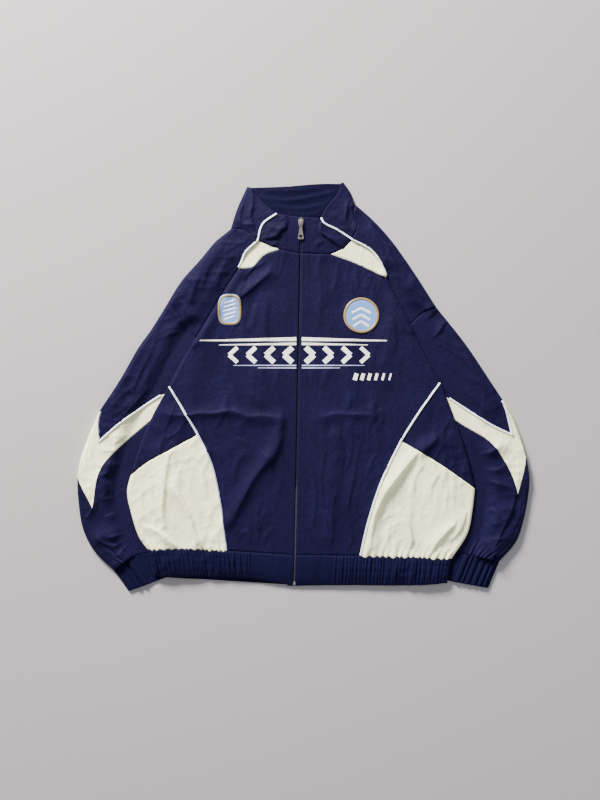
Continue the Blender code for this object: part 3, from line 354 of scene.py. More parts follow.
# A seam runs straight on over the fold where it ends, so there the fold turns along the seam.
SEAM_ENDS = (
    ("collar_fold", "shoulder_fold", "neck_shoulder"), ("shoulder_fold", "sleeve_fold", "drop"),
    ("side_upper", "side_lower", "cross"), ("side_lower", "band_side", "hem_sides"),
    ("forearm_fold", None, "cuff_top"),
)
AIM_REACH = 34
for s in (0, 1):
    for before, after, crossing in SEAM_ENDS:
        start = SEAM[s][crossing][: FINE + 1]
        aim = (start[-1] - start[0]) / np.linalg.norm(start[-1] - start[0])
        square = ACROSS[s][before][-1]
        aim = aim / max((aim * square).sum(), 0.5)
        for name in (before, after):
            if name:
                away = np.linalg.norm(SEAM[s][name] - start[0], axis=1)
                weight = np.clip(1 - away / AIM_REACH, 0, 1)[:, None] ** 2
                ACROSS[s][name] = ACROSS[s][name] * (1 - weight) + aim * weight
print("folds aimed along their seams")

# %% [markdown]
# ## How high each layer lies
# The sleeves lie beside and under the body, the back lies on the floor, and the front lies over
# all. One formula for each layer gives its height, so neighbouring panels agree at their seam.
# The wide, soft part of the form is the same as the solid's. The creases come on top of it.

# %% Heights of the layers
CLOTH = 1.5  # a wall stands for shell, lining and the air between them
SEAM_GAP = 0.3
LAYER_AIR, UNDER_AIR = 1.0, 0.3
SLEEVE_TOP = 2 * CLOTH + UNDER_AIR  # a sleeve's two layers, pressed together
BODY_LIFT = SLEEVE_TOP + SEAM_GAP  # where the body's back lies when it lies on a sleeve
SLEEVE_PUFF, SHOULDER_PUFF, BODY_PUFF, COLLAR_PUFF = 6.5, 4.5, 2.2, 2.6
RIDGE_HEIGHT = 3.2
COLLAR_RISE, COLLAR_MIDDLE, COLLAR_SPREAD = 9.0, np.array((-10.0, 318.0)) - MIDDLE, 95.0
ZIP_SIDE, ZIP_FLAT, ZIP_RAISE = 2.0, 17.0, 2.0
UNDER_CLEAR, UNDER_RAMP, FOLD_CLEAR = 16.0, 42.0, 20.0


def coarse(*names, side=0):
    """A run of seams with as few points as the solids have, which is enough for distances."""
    return joined(*[SEAM[side][name][::FINE] for name in names])


UNDER_RUN = ("under_drop", "under_inset", "under_forearm")
HIDDEN = [
    np.vstack([
        coarse(*BODY_RUN[1:], side=s), corner("cuff_end_in", s)[None],
        coarse(*UNDER_RUN, side=s)[::-1],
    ])
    for s in (0, 1)
]
BODY_SIDE = [coarse(*BODY_RUN[1:], side=s) for s in (0, 1)]
BODY_OUTLINE = np.vstack([BODY_SIDE[0], BODY_SIDE[1][::-1]])
RIDGE = [coarse("ridge", side=s) for s in (0, 1)]
ZIP = coarse("zip_collar", "zip_body", "zip_band")


def lift(places):
    """Height of the body back's underside: over a sleeve it lies on it, elsewhere on the floor."""
    most = np.zeros(len(places))
    for outline in HIDDEN:
        closed = np.vstack([outline, outline[:1]])
        away = np.where(inside(places, outline), 0, distance(places, closed))
        most = np.maximum(most, 1 - eased((away - UNDER_CLEAR) / UNDER_RAMP))
    return BODY_LIFT * most


def collar_rise(places):
    """How much the folded collar lifts the cloth round it."""
    away = np.linalg.norm(places - COLLAR_MIDDLE, axis=1)
    return COLLAR_RISE * np.exp(-((away / COLLAR_SPREAD) ** 2))


def beside_zip(places):
    """1 on the flat strip over the zip tapes, 0 well away from it."""
    return 1 - eased((distance(places, ZIP) - ZIP_FLAT) / 16)


print("mm up: top of a pressed sleeve", SLEEVE_TOP, "and body over a sleeve", BODY_LIFT)


# %% [markdown]
# ## Creases
# A crease is a line of crest points with a height, a gentle side and a steep side. It fades out
# at both ends. The named tables hold the ones that can be seen in the photograph. Light shell
# cloth also has many faint wrinkles, and those are scattered by a seeded random generator, so
# each run gives the same garment.

# %% Crease tables
# Creases pressed into the body front: height, soft width, sharp width, crest points.
BODY_CREASES = (
    (1.7, 9, 3.0, [
        (-248, -49), (-211, -52), (-189, -48), (-160, -48), (-135, -43),
        (-110, -49), (-99, -54), (-77, -52), (-31, -57),
    ]),
    (1.2, 7, 2.6, [(36, -58), (49, -50), (85, -50), (126, -50)]),
    (1.0, 6, 2.6, [(-188, -54), (-181, -75), (-178, -98)]),
    (0.9, 5, 2.4, [(-142, -46), (-148, -60), (-155, -75)]),
    (2.0, 10, 3.4, [
        (-34, -68), (-47, -82), (-43, -98), (-49, -120), (-61, -134),
        (-74, -147), (-89, -168), (-103, -193), (-117, -221), (-128, -250),
    ]),
    (1.0, 6, 2.4, [(-117, -273), (-106, -260), (-96, -269), (-92, -284)]),
    (0.9, 6, 2.4, [(-74, -204), (-83, -233), (-79, -262), (-85, -287)]),
    (0.8, 6, 2.6, [(-108, -118), (-121, -147), (-126, -179)]),
    (1.6, 10, 3.0, [(-55, 208), (-76, 190), (-99, 170), (-117, 156)]),
    (0.9, 7, 2.6, [(-67, 224), (-92, 210), (-108, 190)]),
    (0.9, 8, 3.0, [(-103, 98), (-92, 116), (-85, 150)]),
    (0.8, 8, 3.0, [(-63, 156), (-67, 102), (-61, 62)]),
    (0.8, 7, 2.8, [(-85, 33), (-90, -3), (-86, -32)]),
    (0.8, 7, 2.8, [(-43, 39), (-47, 3), (-41, -32)]),
    (0.8, 6, 2.4, [(70, -54), (66, -82), (73, -125), (66, -168)]),
    (0.7, 6, 2.4, [(85, -55), (88, -96), (81, -147)]),
    (0.7, 6, 2.6, [(34, -69), (40, -118), (32, -168), (38, -215)]),
    (0.8, 6, 2.6, [(18, -150), (23, -204), (16, -258)]),
    (0.9, 7, 2.6, [(103, -96), (94, -150), (83, -204), (81, -248)]),
    (0.9, 6, 2.4, [(49, -222), (54, -258), (49, -291)]),
    (0.8, 6, 2.4, [(83, -244), (88, -269), (83, -296)]),
    (0.7, 7, 3.0, [(61, 217), (59, 174), (65, 145)]),
    (0.7, 7, 3.0, [(31, 213), (34, 163), (29, 111)]),
    (0.8, 8, 3.0, [(160, 123), (167, 87), (164, 55)]),
    (0.8, 7, 3.0, [(178, 62), (171, 26), (180, -10)]),
    (0.7, 7, 2.8, [(135, -10), (128, -46), (117, -82)]),
    (0.8, 7, 2.6, [(88, -10), (85, -32), (77, -46)]),
    (1.6, 8, 3.0, [(-238, -114), (-244, -143), (-249, -186), (-252, -226), (-249, -258)]),
    (0.9, 8, 3.0, [(-196, -111), (-187, -140), (-176, -172), (-173, -204)]),
    (2.3, 8, 1.8, [(-235, -175), (-217, -204), (-202, -236), (-192, -268), (-181, -291)]),
    (1.6, 8, 2.4, [(-288, -248), (-259, -260), (-238, -278), (-225, -289)]),
    (0.8, 8, 3.2, [(-288, -179), (-290, -212), (-281, -248)]),
    (0.7, 8, 3.2, [(-216, -150), (-205, -179), (-193, -204), (-180, -233)]),
    (0.7, 8, 3.0, [(-272, -165), (-270, -201), (-263, -230)]),
    (2.0, 9, 2.0, [
        (209, -116), (191, -138), (166, -168), (148, -193),
        (134, -221), (125, -253), (122, -278), (122, -300),
    ]),
    (1.2, 7, 2.0, [(182, -235), (191, -253), (196, -273), (194, -292)]),
    (1.2, 8, 2.6, [(270, -248), (255, -264), (237, -285), (229, -305)]),
    (1.0, 9, 3.0, [(294, -222), (284, -253), (262, -282)]),
    (0.8, 8, 3.2, [(220, -136), (202, -165), (198, -201)]),
    (0.7, 8, 3.2, [(250, -150), (232, -176), (225, -212)]),
    (0.7, 8, 3.0, [(160, -240), (153, -269), (157, -298)]),
    (1.0, 7, 2.4, [(241, -90), (227, -107), (211, -120)]),
    (0.8, 8, 3.0, [(268, -57), (252, -82), (257, -107)]),
    (0.8, 8, 3.0, [(-229, -28), (-239, -57), (-252, -82)]),
    (0.8, 7, 3.0, [(-211, -60), (-221, -78), (-247, -96)]),
)

# The same on the sleeves and shoulders.
SLEEVE_CREASES = (
    (2.2, 7, 2.4, [(-247, 143), (-236, 138), (-221, 120), (-207, 102), (-197, 87)]),
    (1.8, 6, 2.2, [(-216, 145), (-207, 132), (-200, 118), (-191, 100)]),
    (1.3, 6, 2.4, [(-225, 156), (-211, 147), (-194, 127), (-180, 116)]),
    (1.0, 8, 3.2, [(-164, 224), (-175, 199), (-182, 170)]),
    (0.9, 8, 3.2, [(-139, 224), (-151, 195), (-157, 166)]),
    (0.9, 9, 3.4, [(-185, 199), (-198, 170), (-200, 148)]),
    (1.4, 10, 3.6, [(-238, 37), (-259, -3), (-279, -32), (-293, -68)]),
    (1.0, 9, 3.4, [(-272, 62), (-292, 26), (-308, -14)]),
    (1.0, 8, 3.0, [(-311, -42), (-297, -24), (-275, 1)]),
    (0.9, 8, 3.0, [(-243, 62), (-257, 26), (-265, -10)]),
    (1.0, 8, 3.0, [(-275, -68), (-293, -82), (-315, -89), (-344, -104)]),
    (0.8, 7, 2.8, [(-369, -150), (-358, -168), (-351, -194)]),
    (2.4, 9, 3.0, [(-366, -168), (-338, -179), (-313, -168), (-299, -156)]),
    (1.6, 8, 3.0, [(-351, -136), (-329, -143), (-306, -134)]),
    (2.0, 8, 2.8, [(-364, -204), (-342, -201), (-319, -206), (-295, -199)]),
    (1.8, 7, 2.4, [(-391, -238), (-380, -224), (-373, -204)]),
    (2.6, 8, 2.6, [(-351, -271), (-320, -264), (-302, -253), (-293, -244)]),
    (1.4, 6, 2.2, [(-371, -269), (-355, -282), (-333, -287)]),
    (1.4, 6, 2.2, [(-333, -305), (-322, -291), (-308, -282)]),
    (1.2, 6, 2.2, [(-304, -305), (-299, -291), (-288, -276)]),
    (1.3, 7, 2.4, [(-358, -235), (-337, -230), (-311, -233)]),
    (1.0, 7, 2.6, [(-380, -176), (-383, -204), (-378, -226)]),
    (1.2, 6, 2.4, [(-360, -291), (-344, -300), (-326, -310)]),
    (2.0, 7, 2.4, [(257, 118), (241, 94), (221, 82)]),
    (1.6, 6, 2.2, [(243, 143), (223, 122), (203, 111)]),
    (1.2, 6, 2.4, [(252, 159), (229, 141), (211, 134)]),
    (1.0, 8, 3.2, [(153, 246), (167, 213), (171, 181)]),
    (0.9, 8, 3.2, [(124, 278), (142, 246), (149, 213)]),
    (0.9, 9, 3.4, [(196, 206), (200, 177), (218, 156)]),
    (1.2, 10, 3.4, [(257, 62), (275, 26), (290, -10)]),
    (1.0, 9, 3.4, [(290, 62), (311, 22), (329, -17)]),
    (0.9, 8, 3.0, [(250, 37), (259, 8), (279, -24)]),
    (1.0, 8, 3.0, [(301, -14), (326, -39), (347, -60)]),
    (2.6, 9, 2.6, [(290, -104), (319, -121), (344, -112), (353, -100)]),
    (1.8, 8, 2.6, [(297, -136), (326, -150), (355, -147), (369, -132)]),
    (1.7, 8, 2.6, [(305, -154), (333, -169), (369, -179)]),
    (2.2, 9, 2.6, [(381, -176), (380, -204), (367, -237), (351, -271), (338, -300)]),
    (1.7, 7, 2.4, [(298, -260), (319, -236), (340, -221), (353, -237)]),
    (1.4, 8, 2.8, [(301, -204), (322, -201), (347, -208)]),
    (1.3, 7, 2.4, [(286, -291), (301, -273), (319, -266)]),
    (1.2, 6, 2.2, [(308, -305), (315, -287), (329, -273)]),
    (1.2, 6, 2.2, [(337, -312), (344, -294), (358, -280)]),
    (1.0, 7, 2.6, [(392, -204), (389, -233), (374, -262)]),
    (0.9, 8, 3.0, [(329, -78), (355, -96), (376, -118)]),
)

# The same on the collar's outside.
COLLAR_CREASES = (
    (2.4, 9, 1.3, [(-38, 305), (-27, 297), (-31, 285), (-39, 280), (-47, 269), (-74, 264)]),
    (1.4, 6, 1.8, [(-43, 258), (-56, 253), (-72, 258)]),
    (1.0, 5, 2.0, [(-61, 289), (-49, 282), (-38, 285)]),
    (1.6, 8, 2.2, [(-94, 357), (-89, 332), (-94, 302), (-85, 280)]),
    (1.2, 7, 2.4, [(-121, 303), (-104, 292), (-85, 292)]),
    (1.0, 7, 2.4, [(-121, 278), (-103, 273), (-83, 253)]),
    (1.0, 8, 2.6, [(-106, 343), (-112, 314), (-113, 289)]),
    (2.2, 8, 1.3, [(74, 248), (63, 254), (44, 267), (32, 276), (32, 296)]),
    (1.5, 7, 2.0, [(83, 336), (80, 325), (78, 312), (76, 292)]),
    (1.4, 7, 2.0, [(105, 304), (97, 289), (94, 274)]),
    (1.0, 7, 2.4, [(88, 354), (99, 332), (106, 310)]),
    (1.0, 6, 2.4, [(56, 314), (67, 300), (85, 285)]),
)

# The same inside the collar's back.
INSIDE_CREASES = (
    (1.0, 7, 3.0, [(-81, 343), (-32, 336), (27, 345), (63, 354)]),
    (0.9, 7, 3.0, [(-56, 327), (-5, 321), (49, 332)]),
    (0.8, 6, 2.6, [(-74, 354), (-20, 354), (34, 359)]),
    (0.7, 6, 2.6, [(-34, 314), (5, 310), (38, 318)]),
)

# The same on the underside, which nobody sees in the photograph.
BACK_CREASES = (
    (0.7, 12, 5, [(-248, 48), (-131, 62), (13, 48), (157, 62), (229, 55)]),
    (0.7, 12, 5, [(-221, 156), (-95, 174), (49, 163), (193, 177)]),
    (0.6, 11, 5, [(-185, -42), (-164, -114), (-175, -204), (-160, -287)]),
    (0.6, 11, 5, [(-74, -24), (-86, -96), (-74, -186), (-85, -276)]),
    (0.6, 11, 5, [(49, -17), (63, -114), (49, -204), (59, -291)]),
    (0.6, 11, 5, [(171, -32), (153, -114), (164, -204), (149, -291)]),
    (0.6, 10, 4, [(-113, 224), (-128, 156), (-117, 84)]),
    (0.6, 10, 4, [(88, 224), (103, 156), (92, 84)]),
    (0.6, 10, 4, [(-275, -150), (-221, -168), (-158, -150)]),
    (0.6, 10, 4, [(211, -165), (157, -150), (103, -168)]),
    (0.6, 9, 4, [(-311, -24), (-333, -60), (-344, -107)]),
    (0.6, 9, 4, [(-373, -168), (-344, -183), (-311, -172)]),
    (0.6, 9, 4, [(-365, -233), (-337, -222), (-308, -240)]),
    (0.6, 9, 4, [(301, -24), (329, -60), (340, -107)]),
    (0.6, 9, 4, [(293, -132), (326, -147), (362, -132)]),
    (0.6, 9, 4, [(301, -222), (333, -233), (358, -215)]),
    (0.6, 9, 4, [(-185, 246), (-214, 192), (-257, 134)]),
    (0.6, 9, 4, [(178, 242), (211, 192), (250, 123)]),
)


print("tables:", len([BODY_CREASES, SLEEVE_CREASES, COLLAR_CREASES, INSIDE_CREASES, BACK_CREASES]))

# %% [markdown]
# ## From lines to heights
# Each crease adds a ridge along its crest points. Broad folds are plain bumps, and crumple adds
# long ridges that wander, as cloth shows where a hand has bunched it.

# %% Relief, wrinkles and folds
RELIEF = 1.9  # the tables hold what shows in the picture, and soft lamps need more to show it


def relief(places, table):
    """Height that the creases of a table add at each place."""
    total = np.zeros(len(places))
    for height, soft, sharp, points in table:
        line = through(points, 3 * len(points))
        low, high = line.min(axis=0) - 3 * soft, line.max(axis=0) + 3 * soft
        near = ((places > low) & (places < high)).all(axis=1)
        if near.any():
            off, along = off_line(places[near], line)
            width = np.where(off > 0, sharp, soft)
            fade = np.sin(math.pi * along) ** 0.5
            total[near] += RELIEF * height * np.exp(-(np.abs(off / width) ** 1.4)) * fade
    return total


def wrinkles(count, low, high, lean, seed):
    """Faint short creases at random places in a box, within 30 degrees of the angle lean."""
    random = np.random.default_rng(seed)
    rows = []
    for _ in range(count):
        start = random.uniform(low, high)
        turn = math.radians(lean + random.normal(0, 20))
        ahead = np.array((math.cos(turn), math.sin(turn)))
        side = np.array((-ahead[1], ahead[0])) * random.uniform(-6, 6)
        long = random.uniform(22, 70)
        soft = random.uniform(3.5, 8)
        points = [start, start + ahead * long / 2 + side, start + ahead * long]
        rows.append((random.uniform(0.25, 0.8), soft, soft * random.uniform(0.4, 0.9), points))
    return tuple(rows)


def folds(places, table):
    """Height that the solids' own broad folds add."""
    total = np.zeros(len(places))
    for height, half_width, points in table:
        total += height * np.exp(-((distance(places, through(points, 12)) / half_width) ** 2))
    return total


def crumple(places, seed, size, height, lean=90.0):
    """Crisp little folds in wandering directions, as packed light cloth keeps them."""
    random = np.random.default_rng(seed)
    x, y = places[:, 0], places[:, 1]
    total, patchy = np.zeros(len(places)), np.zeros(len(places))
    for _ in range(5):
        turn = random.uniform(0, math.pi)
        wave = (x * math.cos(turn) + y * math.sin(turn)) / random.uniform(70, 160)
        patchy += np.sin(2 * math.pi * wave + random.uniform(0, 6.3)) / 5
    for k in range(7):
        turn = math.radians(lean + 90 + random.normal(0, 32))
        along = x * math.cos(turn) + y * math.sin(turn)
        across = -x * math.sin(turn) + y * math.cos(turn)
        bend = size * 0.35 * np.sin(across / (size * 1.7) + random.uniform(0, 6.3))
        bend += size * 0.5 * np.sin(across / (size * 4.1) + random.uniform(0, 6.3))
        wave = (along + bend) / (size * random.uniform(0.7, 1.6)) + random.uniform(0, 1)
        crest = (1 - np.abs(np.sin(math.pi * wave))) ** 2.2
        mask = np.sin(2 * math.pi * (across + bend) / (size * random.uniform(4, 7)) + k)
        total += crest * np.clip(mask * 0.7 + patchy * 1.5, 0, 1) * random.uniform(0.4, 1)
    return height * total / 2.2


BODY_WRINKLES = wrinkles(170, (-300, -300), (290, 230), 92, 11)
LEFT_WRINKLES = wrinkles(70, (-400, -330), (-180, 240), 60, 12)
RIGHT_WRINKLES = wrinkles(70, (190, -330), (400, 240), 118, 13)
COLLAR_WRINKLES = wrinkles(26, (-110, 240), (80, 350), 30, 14)
print("creases:", len(BODY_CREASES + SLEEVE_CREASES + COLLAR_CREASES), "drawn by hand")

# %% [markdown]
# ## Tops of the layers
# The top of each layer is a sum: what lies below it, the air that the cloth traps, its broad
# folds, and then the creases. Beside the zip the stiff tape holds it flat, so there the sum is
# faded out. Without detail the same functions give the calm form that trims can be laid on.

# %% Tops of the layers
def body_height(places, detail=True):
    """Top of the body front, its yoke insets and its hem band."""
    flat = beside_zip(places)
    ridge = sum(np.exp(-(((distance(places, RIDGE[s]) - 9) / 9) ** 2)) for s in (0, 1))
    soft = BODY_PUFF + RIDGE_HEIGHT * ridge + folds(places, BODY_FOLDS)
    if detail:
        # The cream side pieces are gathered below, so every crease stands higher there.
        low = eased((-80 - places[:, 1]) / 50) * eased((np.abs(places[:, 0] + 10) - 110) / 40)
        soft = soft + (1 + 0.7 * low) * relief(places, BODY_CREASES)
        soft = soft + (1 + 0.5 * low) * relief(places, BODY_WRINKLES)
        soft = soft + crumple(places, 21, 26, 1.3) + crumple(places, 22, 11, 0.45)
        soft = soft + low * (crumple(places, 23, 34, 2.6) + crumple(places, 27, 13, 1.5))
    base = lift(places) + 2 * CLOTH + LAYER_AIR + collar_rise(places)
    return base + (1 - flat) * soft + flat * ZIP_RAISE


def sleeve_height(places, detail=True):
    """Top of the shoulders and sleeves. They lie flat beside the body's edge and under it."""
    edge = np.minimum(distance(places, BODY_SIDE[0]), distance(places, BODY_SIDE[1]))
    free = np.where(inside(places, BODY_OUTLINE), 0, eased((edge - FOLD_CLEAR) / 24))
    valley = eased(np.minimum(distance(places, RIDGE[0]), distance(places, RIDGE[1])) / 26)
    down = eased((100 - places[:, 1]) / 160)
    puff = SHOULDER_PUFF + (SLEEVE_PUFF - SHOULDER_PUFF) * down
    soft = 0.7 + puff + folds(places, SLEEVE_FOLDS)
    low = 0.7
    if detail:
        fine = relief(places, SLEEVE_CREASES)
        fine += relief(places, LEFT_WRINKLES) + relief(places, RIGHT_WRINKLES)
        fine += crumple(places, 24, 30, 2.6, 70) + crumple(places, 25, 12, 0.6)
        soft = soft + fine
        low = low + 0.3 * fine
    return SLEEVE_TOP + free * (low + valley * (soft - low)) + collar_rise(places)


def collar_height(places, detail=True):
    """Top of the collar's front and side pieces."""
    flat = beside_zip(places)
    soft = COLLAR_PUFF
    if detail:
        soft = soft + relief(places, COLLAR_CREASES) + relief(places, COLLAR_WRINKLES)
        soft = soft + crumple(places, 26, 20, 1.0, 30)
    base = 2 * CLOTH + LAYER_AIR + collar_rise(places)
    return base + (1 - flat) * soft + flat * ZIP_RAISE


chest, wrist = np.array([[60.0, 60.0]]), np.array([[-330.0, -190.0]])
print("cloth tops, mm: chest", round(float(body_height(chest)[0]), 1), end=", ")
print("forearm", round(float(sleeve_height(wrist)[0]), 1))


# %% [markdown]
# ## Colours
# Cloth colours are named as sRGB hex, as a dyer's chart or a picture editor gives them. Blender
# shades in linear light, so one function turns each hex into linear values.

# %% Colours and nodes
def linear(colour, alpha=1.0):
    """Linear red, green, blue and alpha of an sRGB hex colour such as #20224f."""
    parts = [int(colour[k : k + 2], 16) / 255 for k in (1, 3, 5)]
    return (*[c / 12.92 if c <= 0.04045 else ((c + 0.055) / 1.055) ** 2.4 for c in parts], alpha)


def add(made, kind, inputs, **settings):
    """Adds a node to a material. inputs maps a socket to a value or to another node's output."""
    node = made.node_tree.nodes.new(kind)
    for name, value in settings.items():
        setattr(node, name, value)
    for name, value in inputs.items():
        if isinstance(value, bpy.types.NodeSocket):
            made.node_tree.links.new(value, node.inputs[name])
        else:
            node.inputs[name].default_value = value
    return node


def new_material(name, **sockets):
    """A material, and its shader with the named sockets set, such as roughness."""
    made = bpy.data.materials.new(name)
    made.use_nodes = True
    shader = made.node_tree.nodes["Principled BSDF"]
    for socket, value in sockets.items():
        shader.inputs[socket.replace("_", " ").title().replace("Ior", "IOR")].default_value = value
    return made, shader


def in_mm(made, across, along=None, up=None):
    """Object coordinates scaled so that one unit is so many millimetres on each axis."""
    along, up = along or across, up or across
    place = add(made, "ShaderNodeTexCoord", {})
    scale = tuple(1 / (MM * size) for size in (across, along, up))
    mapped = add(made, "ShaderNodeMapping", {"Vector": place.outputs["Object"], "Scale": scale})
    return mapped.outputs["Vector"]


print("cream #f5f2d0 in linear light:", [round(part, 3) for part in linear("#f5f2d0")])


# %% [markdown]
# ## Shell cloth
# The shell is plain-woven polyamide, piece-dyed and lightly calendered. The eye reads it as a
# dark, nearly matt cloth with a faint satin sheen where it turns away, fine slubs along both
# threads, and a soft crushed texture from packing. The real threads lie about 0.15 mm apart,
# which is too fine to show here, so the slubs are drawn 1.2 mm wide. The crush is bump only
# where it is smaller than the mesh.

# %% Shell cloth
SLUB_WIDE, SLUB_LONG = 1.2, 14
CRUSH_SIZE, MOTTLE_SIZE = 7, 60
CLOTH_GLOSS = 0.06  # threads scatter what a smooth surface would mirror


def toned(made, shader, share, dark, light, low=0.0, high=1.0):
    """Colours a shader between two hex values, by a share that runs from low to high."""
    ramp = add(made, "ShaderNodeValToRGB", {"Fac": share})
    for stop, where, colour in zip(ramp.color_ramp.elements, (low, high), (dark, light)):
        stop.position, stop.color = where, linear(colour)
    made.node_tree.links.new(ramp.outputs[0], shader.inputs["Base Color"])


def shell_cloth(name, dark, light, roughness, sheen, sheen_tint, crush):
    """Woven polyamide whose colour wanders between two hex values."""
    made, shader = new_material(name, roughness=roughness, sheen_weight=sheen, sheen_roughness=0.4)
    shader.inputs["Sheen Tint"].default_value = linear(sheen_tint)
    shader.inputs["Specular IOR Level"].default_value = CLOTH_GLOSS
    slubs = []
    for across, along in ((SLUB_WIDE, SLUB_LONG), (SLUB_LONG, SLUB_WIDE)):
        where = in_mm(made, across, along, SLUB_WIDE)
        slubs.append(add(made, "ShaderNodeTexNoise", {
            "Vector": where, "Scale": 1.0, "Detail": 1.0,
        }))
    weave = add(made, "ShaderNodeMath", {0: slubs[0].outputs[0], 1: slubs[1].outputs[0]})
    spot = add(made, "ShaderNodeTexNoise", {
        "Vector": in_mm(made, MOTTLE_SIZE), "Scale": 1.0, "Detail": 4.0,
    })
    wander = add(made, "ShaderNodeMath", {0: weave.outputs[0], 1: spot.outputs[0]})
    share = add(made, "ShaderNodeMapRange", {
        "Value": wander.outputs[0], "From Min": 1.1, "From Max": 1.9,
    })
    toned(made, shader, share.outputs[0], dark, light)
    crushed = add(made, "ShaderNodeTexNoise", {
        "Vector": in_mm(made, CRUSH_SIZE, CRUSH_SIZE * 1.6, CRUSH_SIZE),
        "Scale": 1.0, "Detail": 3.0,
        "Roughness": 0.55, "Distortion": 0.6,
    })
    first = add(made, "ShaderNodeBump", {
        "Height": crushed.outputs[0], "Strength": crush, "Distance": 1.6 * MM,
    })
    fine = add(made, "ShaderNodeBump", {
        "Height": weave.outputs[0], "Strength": 0.35, "Distance": 0.12 * MM,
        "Normal": first.outputs[0],
    })
    made.node_tree.links.new(fine.outputs[0], shader.inputs["Normal"])
    return made


# Deep blue threads under a faint lilac sheen: the cloth looks a little lighter where it turns.
NAVY_SHELL = shell_cloth("navy_polyamide_shell", "#0e0a25", "#130f32", 0.7, 0.05, "#8a8fd8", 0.6)
# The same cloth drawn up over elastic. Its ribs shade each other, so it looks darker and matt.
NAVY_RIBBED = shell_cloth(
    "navy_shirred_polyamide", "#080722", "#0c0a2c", 0.72, 0.04, "#8085d0", 0.5
)
# The cloth's inner face, which has no calendered sheen. Its colour is also painted darker than the
# shell's, as painted shade inside the collar's back.
NAVY_INSIDE_PAINTED_SHADE = shell_cloth(
    "navy_polyamide_inside", "#060520", "#0a0828", 0.75, 0.04, "#7075b8", 0.6
)
# Undyed yarn, washed but not bleached: a warm off-white that shows each crease as a soft grey.
CREAM_SHELL = shell_cloth("cream_polyamide_shell", "#f1efbf", "#fafad4", 0.6, 0.08, "#ffffff", 0.5)
print("cloth materials:", len([NAVY_SHELL, NAVY_RIBBED, NAVY_INSIDE_PAINTED_SHADE, CREAM_SHELL]))

# %% [markdown]
# ## A panel as one sheet
# A sewn panel could be cloth-simulated, but a garment laid out flat keeps the creases that the
# hands gave it, and a simulation would wander away from them. So each panel is a grid between
# its four edges. Rows lie closer beside a seam, where the two layers dip and turn under. An
# outline fold is a half round that comes down to whatever the panel lies on.

# %% Grids between seams
STEP = 2.1
SEAM_ROWS = np.array((0, 0.5, 1.1, 1.9, 3.0))
EASE_BACK = 24  # over this length a seam that was begun elsewhere comes back to itself


def run(line):
    """Distance along a line at each of its points."""
    return np.concatenate([[0], np.cumsum(np.linalg.norm(np.diff(line, axis=0), axis=1))])


def shares_over(length, step=STEP):
    """Shares of a length at even steps, with closer ones beside both ends."""
    near = SEAM_ROWS / max(length, 4 * SEAM_ROWS[-1])
    inner = np.linspace(near[-1], 1 - near[-1], max(3, int(length * (1 - 2 * near[-1]) / step)))
    return np.concatenate([near[:-1], inner, 1 - near[-2::-1]])


def sampled(values, shares):
    """Rows of a table at shares of its count of rows."""
    values = np.asarray(values, float)
    at = np.asarray(shares) * (len(values) - 1)
    if values.ndim == 1:
        return np.interp(at, np.arange(len(values)), values)
    return np.stack([np.interp(at, np.arange(len(values)), row) for row in values.T], axis=1)


def coons(top, bottom, outer, inner, u, v):
    """Plan points of a grid between four edges, at shares u across and v down."""
    u, v = u[:, None, None], v[None, :, None]
    flat = (1 - u) * (1 - v) * top[0] + u * (1 - v) * top[-1] + (1 - u) * v * bottom[0]
    flat = flat + u * v * bottom[-1]
    sides = (1 - u) * outer[None] + u * inner[None]
    return sides + (1 - v) * top[:, None] + v * bottom[:, None] - flat


def past_roll(line, direction, width):
    """A seam that begins on a rolled edge, begun where the roll ends and eased back to itself."""
    return line + direction * width * np.clip(1 - run(line) / EASE_BACK, 0, 1)[:, None] ** 2


def begun_later(line, share):
    """The same line without the first share of a solid's step, to cut a sharp tip off."""
    return line[int(round(share * FINE)) :]


def between(first, last, steps=FINE):
    """A straight line of steps + 1 points."""
    return first + (last - first) * np.linspace(0, 1, steps + 1)[:, None]


def placed(line, shares):
    """Points of a line at shares of its length."""
    length = run(line)
    return np.stack([np.interp(shares, length / length[-1], line[:, a]) for a in (0, 1)], axis=1)


def uneven(along, seed, size):
    """A wandering value between about -1 and 1, with waves of about the given size in mm."""
    random = np.random.default_rng(seed)
    total = np.zeros_like(along)
    for part in (0.55, 0.8, 1.2, 1.9):
        total += np.sin(2 * math.pi * along / (size * part) + random.uniform(0, 6.28)) * part**0.5
    return total / 2.6


print("rows across a panel 200 mm wide:", len(shares_over(200)))


# %% [markdown]
# ## From grids to meshes
# Each grid becomes quads with smooth shading. A piece is then parented to the body that carries
# it, and the solid that it stands for is hidden.

# %% Meshes and their places in the frame
PARTS = {}


def grid_faces(wide, tall, ring=False):
    """Quads between the points of a grid, closed round on itself for a ring."""
    i, j = np.meshgrid(np.arange(wide if ring else wide - 1), np.arange(tall - 1), indexing="ij")
    after = (i + 1) % wide
    corners = (i * tall + j, after * tall + j, after * tall + j + 1, i * tall + j + 1)
    return np.stack([c.ravel() for c in corners], axis=1)


def new_piece(name, points, faces, *made):
    """A smooth object from points in millimetres, with its materials."""
    mesh = bpy.data.meshes.new(name)
    mesh.from_pydata((np.asarray(points, float) * MM).tolist(), [], [list(f) for f in faces])
    mesh.shade_smooth()
    for one in made:
        mesh.materials.append(one)
    piece = bpy.data.objects.new(name, mesh)
    bpy.context.scene.collection.objects.link(piece)
    PARTS[name] = piece
    return piece


def grid_piece(name, grid, *made, upward=True, ring=False):
    """An object from a grid of points, turned so that its faces look up or down."""
    faces = grid_faces(*grid.shape[:2], ring)
    a, b, c = (grid.reshape(-1, 3)[faces[len(faces) // 2, k]] for k in (0, 1, 2))
    if (np.cross(b - a, c - a)[2] > 0) != upward:
        faces = faces[:, ::-1]
    return new_piece(name, grid.reshape(-1, 3), faces, *made)


def declared(piece, node, body="jacket"):
    """Parents a piece to the body that carries it, and hides the solid that it stands for."""
    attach(piece, body)
    if node:
        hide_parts(node)
    return piece


